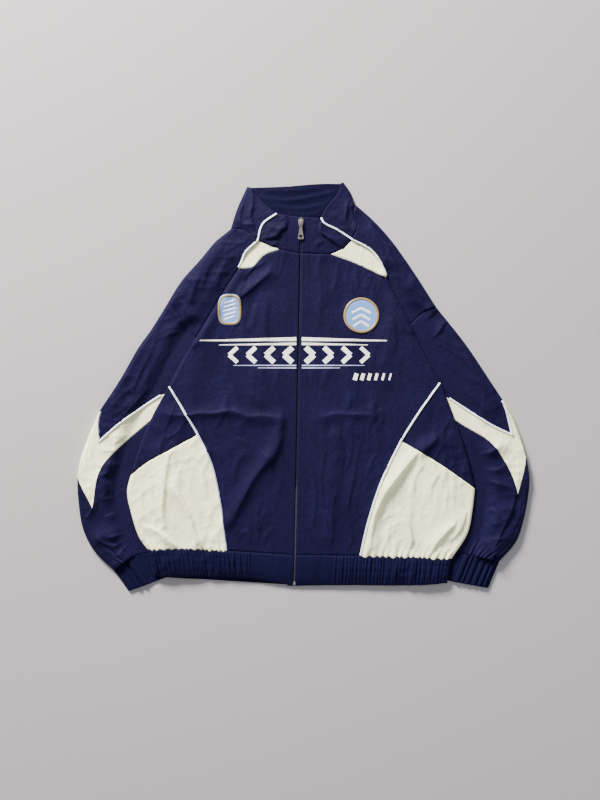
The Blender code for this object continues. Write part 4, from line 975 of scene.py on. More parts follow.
CUT = {}  # flat width and length in mm and area in square cm, for each panel


def sheet_of(piece, grid, fullness=1.0, faces=1):
    """Works out a panel's flat cut width, length and area and keeps them in CUT. Fullness is how
    much wider it was cut than its grid shows, and faces is 2 for a mesh that has both faces of its
    cloth."""
    across = np.linalg.norm(np.diff(grid, axis=0), axis=2)
    down = np.linalg.norm(np.diff(grid, axis=1), axis=2)
    width = across.sum(axis=0).max() * fullness * MM
    length = down.sum(axis=1).max() * MM
    area = sum(face.area for face in piece.data.polygons) * fullness / faces
    area = min(max(area, 0.31 * width * length), width * length)
    CUT[piece.name] = (round(width * 1000), round(length * 1000), round(area * 1e4))


print("quads in a strip of 3 by 10 points:", len(grid_faces(3, 10)))


# %% [markdown]
# ## Edges
# A panel edge is a seam, a fold or hidden. At a seam the cloth dips over 1.5 mm and turns under,
# with small uneven puckers that the sewing thread draws in. At a fold, such as a hem or a zip
# placket, it rounds over in a quarter of an ellipse.

# %% Edge forms
SEAM_DIP, SEAM_WIDE, TURNED_UNDER = 1.0, 1.5, 2.4
PUCKER_HEIGHT, PUCKER_REACH = 0.2, 8


def edge_dip(kind, away, along, seed):
    """How far the cloth comes down at this distance from an edge of this kind."""
    if kind is None:
        return 0 * away
    if kind == "seam":
        pucker = PUCKER_HEIGHT * uneven(along, seed, 13) * np.exp(-away / PUCKER_REACH)
        return SEAM_DIP * np.exp(-((away / SEAM_WIDE) ** 2)) - pucker
    width, drop = kind
    share = 1 - np.clip(away / width, 0, 1)
    return drop * (1 - np.sqrt(1 - share**2))


def runs(plan):
    """Lengths down and across a grid from its first row and column, at each point."""
    down = np.linalg.norm(np.diff(plan, axis=1), axis=2).cumsum(axis=1)
    across = np.linalg.norm(np.diff(plan, axis=0), axis=2).cumsum(axis=0)
    return np.pad(down, ((0, 0), (1, 0))), np.pad(across, ((1, 0), (0, 0)))


middle_dip = edge_dip("seam", np.array([0.0]), np.array([0.0]), 1)[0]
print("a seam dips by", round(float(middle_dip), 2), "mm")

# %% [markdown]
# ## Outline folds
# Where the garment's outline is a fold, the cloth turns over in a half round and comes down to
# whatever it lies on. Its rows are worked out from angles, so they lie closest where the cloth
# turns most. At a point of the outline the roll has to be narrow, or it would cross itself.

# %% Rolled folds
# How far in from the fold, and how far above what it lies on, the rows under the roll are.
UNDER_ROWS = ((4.5, 0.15), (1.5, 0.1), (0.35, 0.5), (0.0, 1.2))
ROLL_ANGLES = (15, 30, 45, 60, 75)
ROLL_SLEEVE, ROLL_BODY, ROLL_POINT, ROLL_GROWTH = 9.0, 6.0, 2.6, 70.0


def rolled(directions, width, floors=0.0, amounts=None):
    """A roll: inward directions, widths, how much of a roll it is and what it lies on."""
    count = len(directions)
    amounts = np.ones(count) if amounts is None else amounts
    widths = np.broadcast_to(np.array(width, float), count)
    return directions, widths, amounts, np.broadcast_to(np.array(floors, float), count)


def roll_widths(line, full, side, points):
    """Widths of the roll along a line: narrow near the named corners, and full away from them."""
    near = np.min([np.linalg.norm(line - corner(name, side), axis=1) for name in points], axis=0)
    return ROLL_POINT + (full - ROLL_POINT) * eased(near / ROLL_GROWTH)


def roll_rows(roll, base, v, height, tops, down_run, seed):
    """Rows of points from under the fold up to the panel's first row."""
    directions, widths, amounts, floors = (sampled(values, v) for values in roll)
    line = sampled(base, v)
    rows = []
    for inside_by, up in UNDER_ROWS:
        where = line + directions * (amounts * inside_by)[:, None]
        level = height(line) - TURNED_UNDER
        rows.append(np.column_stack([where, amounts * (floors + up) + (1 - amounts) * level]))
    foot = floors + UNDER_ROWS[-1][1]
    for angle in ROLL_ANGLES:
        out, up = 1 - math.cos(math.radians(angle)), math.sin(math.radians(angle))
        where = line + directions * (widths * out)[:, None]
        level = height(where) - edge_dip("seam", widths * out, down_run, seed)
        high = amounts * (foot + (tops - foot) * up) + (1 - amounts) * level
        rows.append(np.column_stack([where, high]))
    return np.array(rows)


print("rows round a fold:", len(UNDER_ROWS) + len(ROLL_ANGLES))

# %% [markdown]
# ## The panel
# One function makes every panel, as one sewing method makes every seam. It lays the grid, lifts
# it to the layer's height, lets its edges dip or roll, and turns its seam edges under, so that
# no cut edge shows.

# %% One panel
FLOOR_CLEAR = 0.05
EDGES = ("top", "bottom", "outer", "inner")


def panel(node, made, height, edges, kinds, roll=None, swell=None, shift=None, seed=1, **options):
    """A sheet of cloth over the grid between its edges (top, bottom, outer, inner).

    kinds names the same four edges, and where there is a roll, the outer kind is not used.
    roll is (directions, widths, amounts, floors) along the outer edge, as on the solid.
    swell(across, down, away) lifts the cloth, and shift moves it in plan.
    """
    top, bottom, outer, inner = edges
    base = outer
    if roll:
        outer = outer + roll[0] * roll[1][:, None]
    step = options.get("step", STEP)
    u = options.get("u", shares_over(max(run(top)[-1], run(bottom)[-1]), step))
    v = shares_over(max(run(outer)[-1], run(inner)[-1]), step)
    place = placed if options.get("by_length") else sampled
    plan = coons(place(top, u), place(bottom, u), sampled(outer, v), sampled(inner, v), u, v)
    down_run, across_run = runs(plan)
    away = {
        "top": down_run, "bottom": down_run[:, -1:] - down_run,
        "outer": across_run, "inner": across_run[-1:] - across_run,
    }
    tops = height(plan.reshape(-1, 2)).reshape(plan.shape[:2])
    if swell:
        tops = tops + swell(u[:, None], v[None], away)
    if shift:
        plan = plan + shift(u[:, None], v[None], away)
    sewn = []
    for number, (name, kind) in enumerate(zip(EDGES, kinds)):
        if kind is None or (roll and name == "outer"):
            continue
        along = across_run if name in ("top", "bottom") else down_run
        tops = tops - edge_dip(kind, away[name], along, seed * 4 + number)
        sewn.append(name)
    grid = np.dstack([plan, tops])
    if roll:
        grid = np.concatenate([roll_rows(roll, base, v, height, tops[0], down_run[0], seed), grid])
    drop = np.array((0, 0, TURNED_UNDER))
    if "inner" in sewn:
        grid = np.concatenate([grid, grid[-1:] - drop])
    if "outer" in sewn:
        grid = np.concatenate([grid[:1] - drop, grid])
    if "top" in sewn:
        grid = np.concatenate([grid[:, :1] - drop, grid], axis=1)
    if "bottom" in sewn:
        grid = np.concatenate([grid, grid[:, -1:] - drop], axis=1)
    grid[..., 2] = np.maximum(grid[..., 2], FLOOR_CLEAR)
    piece = grid_piece(f"{node}_cloth", grid, made, upward=options.get("upward", True))
    declared(piece, node)
    held, full = options.get("held", "laid"), options.get("full", 1.0)
    sheet_of(piece, grid, full)
    return piece


print("edges of a panel:", ", ".join(EDGES))


# %% [markdown]
# ## Collar
# The stand collar is cut in a front and a side piece on each side, with a corded seam between
# them. It lies folded over to the front, so its top edge is a fold. The deep pleats beside the
# zip come from the stiff zip tape that holds the middle flat while the sides slump.

# %% Collar pieces
COLLAR_EDGE, PLACKET = (1.8, 2.6), (1.1, 1.8)  # width and drop of each fold
OUTWARD = (-1, 1)  # the way along x from the zip, on each side


def off_zip(line, side):
    """A line that ends at the zip, ended beside the teeth instead."""
    left = run(line)[-1] - run(line)
    step = np.array((OUTWARD[side] * ZIP_SIDE, 0))
    return line + step * np.clip(1 - left / EASE_BACK, 0, 1)[:, None] ** 2


def beside(line, side):
    """A line along the zip, moved out to the placket's edge."""
    return line + np.array((OUTWARD[side] * ZIP_SIDE, 0))


for s, end in enumerate(SIDES):
    seam, fold = SEAM[s], ACROSS[s]["collar_fold"]
    edges = (
        past_roll(seam["collar_edge"], fold[0], ROLL_SLEEVE),
        past_roll(seam["neck_shoulder"], fold[-1], ROLL_SLEEVE),
        seam["collar_fold"], seam["collar_seam"],
    )
    panel(
        f"collar_side_{end}", NAVY_SHELL, collar_height, edges,
        (COLLAR_EDGE, "seam", None, "seam"), rolled(fold, ROLL_SLEEVE), seed=10 + s,
        rests_on=["collar_back"],
    )
    neck = off_zip(joined(seam["neck_inset"], seam["neck_front"]), s)
    edges = (
        off_zip(seam["collar_front_edge"], s), neck, seam["collar_seam"],
        beside(seam["zip_collar"], s),
    )
    panel(
        f"collar_front_{end}", NAVY_SHELL, collar_height, edges,
        (COLLAR_EDGE, "seam", "seam", PLACKET), seed=20 + s, rests_on=["collar_back"],
    )
print("collar pieces:", len(PARTS))

# %% [markdown]
# ## Shoulders, yoke insets and fronts
# The body front lies over the sleeves, so its edge from the yoke to the underarm is a fold that
# stands a little proud. The cream insets are pieces of their own with a seam on every side.

# %% Shoulders, yoke insets and fronts
TIP_CUT = 0.12  # how much of a sharp tip is left out, in steps of the solid

for s, end in enumerate(SIDES):
    seam, fold = SEAM[s], ACROSS[s]["shoulder_fold"]
    edges = (
        past_roll(seam["neck_shoulder"], fold[0], ROLL_SLEEVE),
        past_roll(seam["drop"], fold[-1], ROLL_SLEEVE),
        seam["shoulder_fold"], joined(seam["yoke_shoulder"], seam["ridge"]),
    )
    panel(
        f"shoulder_{end}", NAVY_SHELL, sleeve_height, edges, ("seam", "seam", None, "seam"),
        rolled(fold, ROLL_SLEEVE), seed=30 + s, rests_on=[f"sleeve_back_{end}"],
    )
    outer = begun_later(seam["yoke_shoulder"][::-1], TIP_CUT)[::-1]
    inner = begun_later(seam["yoke_front"], TIP_CUT)[::-1]
    edges = (seam["neck_inset"], between(outer[-1], inner[-1]), outer, inner)
    panel(
        f"yoke_inset_{end}", CREAM_SHELL, body_height, edges, ("seam", "seam", "seam", "seam"),
        seed=40 + s, rests_on=["back"], slot="cream_shell",
    )
    # The front's outer edge is rolled down to the underarm, and an ordinary seam from there on.
    outer = joined(*[seam[name] for name in ("ridge", "armhole", "piping_upper", "piping_lower")])
    ridge_end = len(seam["ridge"]) - 1
    under = ridge_end + len(seam["armhole"]) - 1
    floors = np.full(len(outer), BODY_LIFT)
    floors[:ridge_end] = sleeve_height(outer[:ridge_end]) - CLOTH
    amounts = 1 - eased((np.arange(len(outer)) - under + FINE * 0.6) / FINE)
    directions = inward(outer, s)
    neck = off_zip(joined(seam["yoke_front"], seam["neck_front"]), s)
    hem = off_zip(seam["hem_front"], s)
    edges = (
        past_roll(neck, directions[0], ROLL_BODY), past_roll(hem, directions[-1], ROLL_BODY),
        outer, beside(seam["zip_body"], s),
    )
    panel(
        f"front_{end}", NAVY_SHELL, body_height, edges, ("seam", "seam", None, PLACKET),
        rolled(directions, ROLL_BODY, floors, amounts), seed=50 + s, rests_on=["back"],
    )
print("panels so far:", len(PARTS))

# %% [markdown]
# ## Side fronts and gathers
# The cream lower pieces are cut wider than the hem band and drawn in on its elastic. Gathers are
# never even: each one here has its own width, height and reach, from a seeded generator, and
# its crest bulges a little over the band's seam.

# %% Side fronts with uneven gathers
def gathers(count, tall, reach, seed, span=(0.0, 1.0)):
    """A function of (across, down, away) that gives the height of uneven gathers at the bottom."""
    random = np.random.default_rng(seed)
    marks = np.cumsum(random.uniform(0.6, 1.5, count + 1))
    marks = span[0] + (marks - marks[0]) / (marks[-1] - marks[0]) * (span[1] - span[0])
    highs, reaches = random.uniform(0.55, 1.15, count), random.uniform(0.5, 1.7, count)
    leans = random.uniform(-0.3, 0.3, count)

    def swell(across, down, away):
        far = away["bottom"]
        total = np.zeros(np.broadcast(across, down).shape)
        for k in range(count):
            low, high = marks[k], marks[k + 1]
            bent = across + leans[k] * (high - low) * np.minimum(far / reach, 1.5)
            inside_it = np.clip((bent - low) / (high - low), 0, 1)
            crest = np.sin(math.pi * inside_it) ** 1.4
            total += tall * highs[k] * crest * np.exp(-((far / (reach * reaches[k])) ** 2))
        return total

    return swell


def over_seam(swell, out, ahead):
    """Moves the crests of gathers over the seam below them, in the direction of the cut."""

    def shift(across, down, away):
        crest = swell(across, down, away)
        near = np.exp(-((away["bottom"] / 4.5) ** 2))
        return (crest * near * out)[:, :, None] * np.array(ahead)

    return shift


for s, end in enumerate(SIDES):
    seam, fold = SEAM[s], ACROSS[s]["side_upper"]
    outer, inner, aim = (
        begun_later(line, TIP_CUT) for line in (seam["side_upper"], seam["piping_upper"], fold)
    )
    cross = past_roll(seam["cross"], fold[-1], ROLL_BODY)
    widths = roll_widths(outer, ROLL_BODY, s, ("underarm",))
    edges = (between(outer[0] + aim[0] * widths[0], inner[0]), cross, outer, inner)
    panel(
        f"side_upper_{end}", NAVY_SHELL, body_height, edges, ("seam", "seam", None, "seam"),
        rolled(aim, widths, BODY_LIFT), seed=60 + s, rests_on=["back"],
    )
    fold = ACROSS[s]["side_lower"]
    hem = past_roll(seam["hem_sides"], fold[-1], ROLL_BODY)
    edges = (cross, hem, seam["side_lower"], seam["piping_lower"])
    puckered = gathers(14, 3.3, 15, 70 + s)
    panel(
        f"side_lower_{end}", CREAM_SHELL, body_height, edges, ("seam", "seam", None, "seam"),
        rolled(fold, ROLL_BODY, BODY_LIFT), swell=puckered,
        shift=over_seam(puckered, 0.8, (0, -1)), seed=72 + s, rests_on=["back"],
        slot="cream_shell", held="gathered", full=1.25,
    )
print("panels so far:", len(PARTS))

# %% [markdown]
# ## Hem band
# Elastic is stitched into the band in rows, and the cloth between stands up in ribs. Beside the
# zip there is no elastic, so the band is plain there.

# %% Hem band with ribs
BAND_RIBS = ((0.70, 32), (0.75, 33))  # on each side, the elastic's share of it and the ribs
RIB_HEIGHT, BAND_PUFF, BAND_TUCK = 2.3, 2.4, 1.2
ELASTIC_ROWS, GROOVE, GROOVE_WIDE = (0.27, 0.52, 0.77), 0.35, 0.035


def ribs(count, share, seed):
    """A function of (across, down, away) that gives the height of uneven ribs over elastic."""
    random = np.random.default_rng(seed)
    marks = np.cumsum(random.uniform(0.75, 1.3, count + 1))
    marks = (marks - marks[0]) / (marks[-1] - marks[0]) * share
    highs = random.uniform(0.6, 1.2, count)
    bends = random.uniform(-0.35, 0.35, count)

    def swell(across, down, away):
        puff = np.sin(math.pi * np.clip(0.06 + 0.88 * down, 0, 1)) ** 0.7
        total = BAND_PUFF * puff - BAND_TUCK * eased((down - 0.7) / 0.3) + 0 * across
        for k in range(count):
            low, high = marks[k], marks[k + 1]
            bent = across + bends[k] * (high - low) * np.sin(math.pi * down)
            inside_it = np.clip((bent - low) / (high - low), 0, 1)
            crest = np.sin(math.pi * inside_it) ** 1.3
            total = total + RIB_HEIGHT * highs[k] * crest * (0.55 + 0.45 * np.sin(math.pi * down))
        for row in ELASTIC_ROWS:
            groove = GROOVE * np.exp(-(((down - row) / GROOVE_WIDE) ** 2))
            total = total - groove * (across < share)
        return total

    return swell


for s, end in enumerate(SIDES):
    seam, fold = SEAM[s], ACROSS[s]["band_side"]
    top = past_roll(off_zip(joined(seam["hem_sides"], seam["hem_front"]), s), fold[0], ROLL_BODY)
    bottom = past_roll(off_zip(seam["band_bottom"], s), fold[-1], ROLL_BODY)
    share, count = BAND_RIBS[s]
    panel(
        f"hem_band_{end}", NAVY_RIBBED, body_height,
        (top, bottom, seam["band_side"], beside(seam["zip_band"], s)),
        ("seam", (3.2, 3.4), None, PLACKET), rolled(fold, ROLL_BODY, BODY_LIFT),
        swell=ribs(count, share, 80 + s), seed=82 + s, rests_on=["hem_band_back"],
        slot="ribbed_elastic", held="gathered", full=1.35, by_length=True,
        u=shares_over(run(bottom)[-1], 0.8),
    )
print("panels so far:", len(PARTS))

# %% [markdown]
# ## Sleeves
# Each sleeve is an upper piece, a cream chevron inset and a lower piece. They run on under the
# body, so nothing ends in the air there.

# %% Sleeve pieces
for s, end in enumerate(SIDES):
    seam, across = SEAM[s], ACROSS[s]
    drop = past_roll(seam["drop"], across["sleeve_fold"][0], ROLL_SLEEVE)
    upper, lower = (
        past_roll(joined(seam[first], seam[second]), across["inset_fold"][at], ROLL_POINT)
        for first, second, at in (("notch", "inset_upper", 0), ("tip", "inset_lower", -1))
    )
    wrist = past_roll(seam["cuff_top"], across["forearm_fold"][-1], ROLL_SLEEVE)
    at_cuff = gathers(9, 3.0, 20, 90 + s, (0.0, 0.62))
    # name, material, slot, top, bottom, outer seam, inner seam, gathers
    rows = (
        ("sleeve_upper", NAVY_SHELL, "navy_shell", drop, upper, "sleeve_fold", "under_drop", None),
        ("sleeve_inset", CREAM_SHELL, "cream_shell", upper, lower, "inset_fold", "under_inset",
         None),
        ("sleeve_lower", NAVY_SHELL, "navy_shell", lower, wrist, "forearm_fold",
         "under_forearm", at_cuff),
    )
    for name, made, slot, top, bottom, outer, inner, swell in rows:
        widths = roll_widths(seam[outer], ROLL_SLEEVE, s, ("inset_top", "inset_low"))
        panel(
            f"{name}_{end}", made, sleeve_height, (top, bottom, seam[outer], seam[inner]),
            ("seam", "seam", None, None), rolled(across[outer], widths), swell=swell,
            seed=92 + s, rests_on=[f"sleeve_back_{end}"], slot=slot,
            held="gathered" if swell else "laid", full=1.15 if swell else 1.0,
        )
print("panels so far:", len(PARTS))

# %% [markdown]
# ## The underside
# The garment is judged from all sides, so the back panels get creases too. They lie within two
# millimetres of the floor, with the crease valleys pressed flat by the weight above.

# %% Heights of the underside
NECK_CLEAR, EDGE_CLEAR = 4.0, 2.0  # how far a lower layer stays inside the fold above it
UNDER_GAP, UNDER_SHARE, UNDER_MOST = 0.35, 0.6, 1.1
HEM_BACK = [CORNERS["hem_side"][0], (-12, -304), CORNERS["hem_side"][1]]
BAND_BACK = [CORNERS["band_end"][0], (-16, -359), CORNERS["band_end"][1]]
NECK_BACK_MIDDLE = np.array((-23, 291)) - MIDDLE
COLLAR_BACK_TOP = [(-32, 361), (31, 366)]
UNDER_WRINKLES = wrinkles(120, (-380, -330), (380, 300), 75, 15)


def sleeve_underside(places):
    """Height of the sleeves' lower layer, which lies on the floor."""
    fine = UNDER_SHARE * relief(places, BACK_CREASES)
    fine = fine + UNDER_SHARE * relief(places, UNDER_WRINKLES)
    return UNDER_GAP + np.clip(fine, 0, UNDER_MOST)


def underside(places):
    """Height of the body's lower layer, which lies on the floor and on the sleeves."""
    return lift(places) + sleeve_underside(places)


def bent(points, shares):
    """Points of two straight stretches that meet at share 0.5."""
    ends = np.array(points, float)
    return np.stack([np.interp(shares, (0, 0.5, 1), ends[:, a]) for a in (0, 1)], axis=1)


def neck_corner(s):
    """Where the back's neck seam meets its shoulder."""
    return SEAM[s]["shoulder_fold"][0] + ACROSS[s]["shoulder_fold"][0] * NECK_CLEAR


def back_armhole(s):
    """The back's edge from its neck corner to the underarm."""
    return joined(between(neck_corner(s), SEAM[s]["ridge"][0]), SEAM[s]["ridge"])


print("folds of the hidden layer stay under", UNDER_MOST, "mm")

# %% [markdown]
# ## Back panels
# The back is one plain panel, and below it the hem band goes on round. The sleeve backs end in
# the same cuff seams as the sleeve fronts do.

# %% Back panels
EVEN = np.linspace(0, 1, 60)
body_edges = [
    placed(joined(back_armhole(s), *[SEAM[s][name] for name in BODY_RUN[1:-1]]), EVEN)
    for s in (0, 1)
]
neck_line = [neck_corner(0), NECK_BACK_MIDDLE, neck_corner(1)]
COARSE = {"step": 5.0, "upward": False}
UNSEWN = (None, None, None, None)  # these edges all lie hidden under other layers
hem_line = bent(np.array(HEM_BACK) - MIDDLE, EVEN)
panel(
    "back", NAVY_SHELL, underside, (bent(neck_line, EVEN), hem_line, *body_edges), UNSEWN,
    rests_on=["floor"], seed=100, **COARSE,
)
BACK_RIBS = 33


def even_ribs(across, down, away):
    """Low regular ribs, as the weight of the garment presses them."""
    return 0.5 + 0.5 * np.sin(across * math.pi * 2 * BACK_RIBS) * np.sin(math.pi * down)


band_bottom = bent(np.array(BAND_BACK) - MIDDLE, EVEN)
panel(
    "hem_band_back", NAVY_RIBBED, underside,
    (hem_line, band_bottom, *[SEAM[s]["band_side"] for s in (0, 1)]), UNSEWN,
    rests_on=["floor"], seed=101, slot="ribbed_elastic", held="gathered", full=1.35,
    swell=even_ribs, u=np.linspace(0, 1, 400), **COARSE,
)
for s, end in enumerate(SIDES):
    under = placed(joined(*[SEAM[s][name] for name in UNDER_RUN]), EVEN)
    inner = begun_later(joined(placed(back_armhole(s), EVEN), under), 0.5)
    outer = joined(*[SEAM[s][name] for name in FOLD_RUN[1:]])
    outer = placed(outer, np.linspace(0, 1, len(inner)))
    outer = outer + inward(outer, s) * EDGE_CLEAR
    wrist = placed(SEAM[s]["cuff_top"], EVEN)
    wrist = wrist + (outer[-1] - wrist[0]) * (1 - EVEN)[:, None]
    panel(
        f"sleeve_back_{end}", NAVY_SHELL, sleeve_underside,
        (between(outer[0], inner[0]), wrist, outer, inner), UNSEWN,
        rests_on=["floor"], seed=102 + s, **COARSE,
    )
print("panels so far:", len(PARTS))

# %% [markdown]
# ## Inside of the collar's back
# Above the front's collar the inner face of the back collar shows. It is one layer with a
# turned edge, so it gets both its faces and a rounded top.

# %% Collar back
COLLAR_CURL, COLLAR_THICK = 3.0, 1.9


def two_sided(name, grid, thick, made):
    """A closed sheet from the grid of its upper face, with its lower face the thickness below."""
    low = grid.copy()
    low[..., 2] = np.maximum(low[..., 2] - thick, FLOOR_CLEAR)
    wide, tall = grid.shape[:2]
    count = wide * tall
    faces = grid_faces(wide, tall)
    edge = np.arange(count).reshape(wide, tall)
    rim = np.concatenate([edge[:, 0], edge[-1, 1:], edge[-2::-1, -1], edge[0, -2::-1]])
    walls = np.stack([rim[:-1], rim[1:], rim[1:] + count, rim[:-1] + count], axis=1)
    points = np.concatenate([grid.reshape(-1, 3), low.reshape(-1, 3)])
    a, b, c = (grid.reshape(-1, 3)[faces[len(faces) // 2, k]] for k in (0, 1, 2))
    upward = np.cross(b - a, c - a)[2] > 0
    faces = faces if upward else faces[:, ::-1]
    lower = faces[:, ::-1] + count
    return new_piece(name, points, np.concatenate([faces, lower, walls]), made)


folds_in = [SEAM[s]["collar_fold"] + ACROSS[s]["collar_fold"] * NECK_CLEAR for s in (0, 1)]
folds_in[0][-1], folds_in[1][-1] = neck_line[0], neck_line[2]
top_line = through([folds_in[0][0] + MIDDLE, *COLLAR_BACK_TOP, folds_in[1][0] + MIDDLE], 60)
u, v = shares_over(run(top_line)[-1], 2.5), shares_over(run(folds_in[0])[-1], 2.5)
plan = coons(
    placed(top_line, u), bent(neck_line, u), sampled(folds_in[0], v), sampled(folds_in[1], v), u, v
)
inside_top = 2.1 + COLLAR_CURL * np.sin(math.pi * u)[:, None] * (1 - v)[None] ** 2
inside_top = inside_top + 0.9 * relief(plan.reshape(-1, 2), INSIDE_CREASES).reshape(plan.shape[:2])
from_edge = runs(plan)[0]
inside_top -= edge_dip((1.6, 1.2), from_edge, from_edge, 5)
collar_grid = np.dstack([plan, inside_top])
# The inner face's darker colour is painted shade inside the collar.
collar_back = two_sided("collar_back_cloth", collar_grid, COLLAR_THICK, NAVY_INSIDE_PAINTED_SHADE)
declared(collar_back, "collar_back")
sheet_of(collar_back, collar_grid, faces=2)
print("collar back faces:", len(collar_back.data.polygons))

# %% [markdown]
# ## Cuffs
# A cuff is a ring of elastic-backed cloth, pressed flat. Its ribs run along the arm. Its lower
# side lies on the floor, and its end is open, so the ring has an inner face as well.

# %% Cuffs
CUFF_RIBS, CUFF_FREE, CUFF_FOLD = (4, 5), (0.50, 0.76), 4.0  # the first two for each side
CUFF_ROWS = (0, 0.02, 0.06, 0.2, 0.4, 0.6, 0.8, 0.93, 0.98, 1.0)
BEND, BEND_MIDDLE = (75, 60, 45, 30, 15, 0, -30, -60), 1.4


def cuff_section(width, free_share, count, random):
    """Across and height of the ring's outer face, at many places round it."""
    across = np.linspace(CUFF_FOLD, width - CUFF_FOLD, 150)
    marks = np.cumsum(random.uniform(0.5, 1.6, count * 2))
    marks = np.interp(across, marks / marks[-1] * width, np.arange(len(marks)))
    free = eased((free_share - across / width) / 0.08)
    high = SLEEVE_TOP + free * (0.9 + 2.9 * np.abs(np.sin(math.pi * marks)) ** 1.1)
    rows = [(a, h) for a, h in zip(across, high)]

    def round_fold(angles, start, way, top):
        for angle in angles:
            out, up = math.cos(math.radians(angle)), math.sin(math.radians(angle))
            rise = (top - BEND_MIDDLE) * up if up > 0 else 1.3 * up
            rows.append((start + way * CUFF_FOLD * out, BEND_MIDDLE + rise))

    round_fold(BEND, width - CUFF_FOLD, 1, high[-1])
    for share in np.linspace(0.97, 0.03, 60):
        rows.append((width * share, 0.1 + 0.5 * math.sin(share * 66) ** 2))
    round_fold(BEND[::-1], CUFF_FOLD, -1, high[0])
    return np.array(rows)


for s, end in enumerate(SIDES):
    random = np.random.default_rng(110 + s)
    first, inner_end = corner("cuff_out", s), corner("cuff_in", s)
    last, last_in = corner("cuff_end_out", s), corner("cuff_end_in", s)
    width = np.linalg.norm(inner_end - first)
    section = cuff_section(width, CUFF_FREE[s], CUFF_RIBS[s], random)
    share = section[:, 0] / width
    starts = placed(SEAM[s]["cuff_top"], np.clip(share, 0, 1))
    ends = last + (last_in - last) * share[:, None]
    rows = []
    for depth in CUFF_ROWS:
        # Both ends of the ring are rounded off towards its middle height.
        share_off = 0.25 * (1 - math.sin(math.pi * min(depth / 0.06, (1 - depth) / 0.06, 0.5)))
        plan = starts + (ends - starts) * depth
        tall = section[:, 1] * (1 - share_off) + 1.6 * share_off
        crest = 0.35 * np.sin(math.pi * depth) * (section[:, 1] > SLEEVE_TOP)
        rows.append(np.column_stack([plan, np.maximum(tall + crest, FLOOR_CLEAR)]))
    # The last two rows turn back into the ring as its inner face.
    for depth in (0.97, 0.75):
        plan = starts + (ends - starts) * depth
        tall = 1.7 + (section[:, 1] - 1.7) * 0.45
        rows.append(np.column_stack([plan, tall]))
    grid = np.array(rows).transpose(1, 0, 2)
    cuff = grid_piece(f"cuff_{end}_cloth", grid, NAVY_RIBBED, ring=True)
    declared(cuff, f"cuff_{end}")
for name, (width, length, area) in CUT.items():
    print(f"{name}: cut {width} by {length} mm, {area} square cm")

# %% [markdown]
# ## Where trims rest
# Cords, stitches and patches follow the cloth that carries them. A ray from above finds the
# cloth's own surface at each place, so every trim sits on the creases and not on an average.

# %% The surface below a place
SURFACE = [p for name, p in PARTS.items() if name not in ("back_cloth", "hem_band_back_cloth")]
corners, quads = [], []
for piece in SURFACE:
    quads += [[len(corners) + k for k in face.vertices] for face in piece.data.polygons]
    corners += [tuple(point.co / MM) for point in piece.data.vertices]
CLOTH_TREE = BVHTree.FromPolygons(corners, quads)
DOWN = Vector((0, 0, -1))


def resting(places):
    """Height of the highest cloth at each place, or 0 where there is only floor."""
    hits = [CLOTH_TREE.ray_cast(Vector((x, y, 60)), DOWN)[0] for x, y in places]
    return np.array([0.0 if hit is None else hit[2] for hit in hits])


def smoothed(values, reach):
    """A running mean over reach values on either side."""
    if reach < 1:
        return values
    padded = np.concatenate([np.full(reach, values[0]), values, np.full(reach, values[-1])])
    return np.convolve(padded, np.ones(2 * reach + 1) / (2 * reach + 1), "valid")


def normals(line, closed=False):
    """Unit vectors to the left of a line."""
    if closed:
        ahead = np.roll(line, -1, axis=0) - np.roll(line, 1, axis=0)
    else:
        ahead = np.gradient(line, axis=0)
    ahead /= np.maximum(np.linalg.norm(ahead, axis=1), 1e-9)[:, None]
    return np.stack([-ahead[:, 1], ahead[:, 0]], axis=1)


print("cloth faces under the trims:", len(quads))

# %% [markdown]
# ## Trim materials
# The piping is a satin-covered cord with a flange whose pale blue is a painted shadow of the cord.
# The prints are plastisol, a soft vinyl ink that fills the weave and keeps a slight gloss. The zip
# slider is die-cast zinc under a satin nickel plate, which gives soft, broad reflections with
# darker worn edges.

# %% Trim materials
def threaded(name, colour, shade, roughness, thread, along, sheen=0.3, gloss=0.5):
    """Thread-covered surface: fine parallel threads with some change of tone."""
    made, shader = new_material(
        name, roughness=roughness, sheen_weight=sheen, specular_ior_level=gloss
    )
    lines = add(made, "ShaderNodeTexNoise", {
        "Vector": in_mm(made, thread, along, thread), "Scale": 1.0, "Detail": 2.0,
    })
    toned(made, shader, lines.outputs[0], shade, colour, 0.3, 0.7)
    raised = add(made, "ShaderNodeBump", {
        "Height": lines.outputs[0], "Strength": 0.5, "Distance": 0.25 * MM,
    })
    made.node_tree.links.new(raised.outputs[0], shader.inputs["Normal"])
    return made


# Satin-woven bias strip: long floating threads give it a soft gloss along the cord. Its threads,
# like all those below, lie about 0.1 mm apart, and are drawn 0.45 mm apart or more to show.
PIPING_CORD = threaded("white_satin_piping", "#f4f5f0", "#e2e6ea", 0.4, 0.5, 1.4)
# The flange's pale blue is a painted shadow that the cord casts beside it.
PIPING_SHADOW_FLANGE = threaded("pale_blue_satin_flange", "#cbd6ec", "#b3c2e0", 0.45, 0.5, 1.4)
# Tape and thread are spun polyester, quite matt, and a shade darker than the shell.
NAVY_TAPE = threaded("navy_woven_zip_tape", "#0d0d2a", "#08081c", 0.75, 0.6, 2.0, 0.0, 0.1)
NAVY_THREAD = threaded("navy_polyester_thread", "#0e0b28", "#08071c", 0.7, 0.4, 0.4, 0.0, 0.06)
# Plastisol ink, screen printed and cured: an even film that keeps a trace of the weave below.
WHITE_PRINT = threaded("white_plastisol_print", "#f6f7f2", "#eceeea", 0.42, 1.0, 1.0, 0.0)
LILAC_PRINT = threaded("lilac_plastisol_print", "#b9bbe4", "#a9abd8", 0.42, 1.0, 1.0, 0.0)
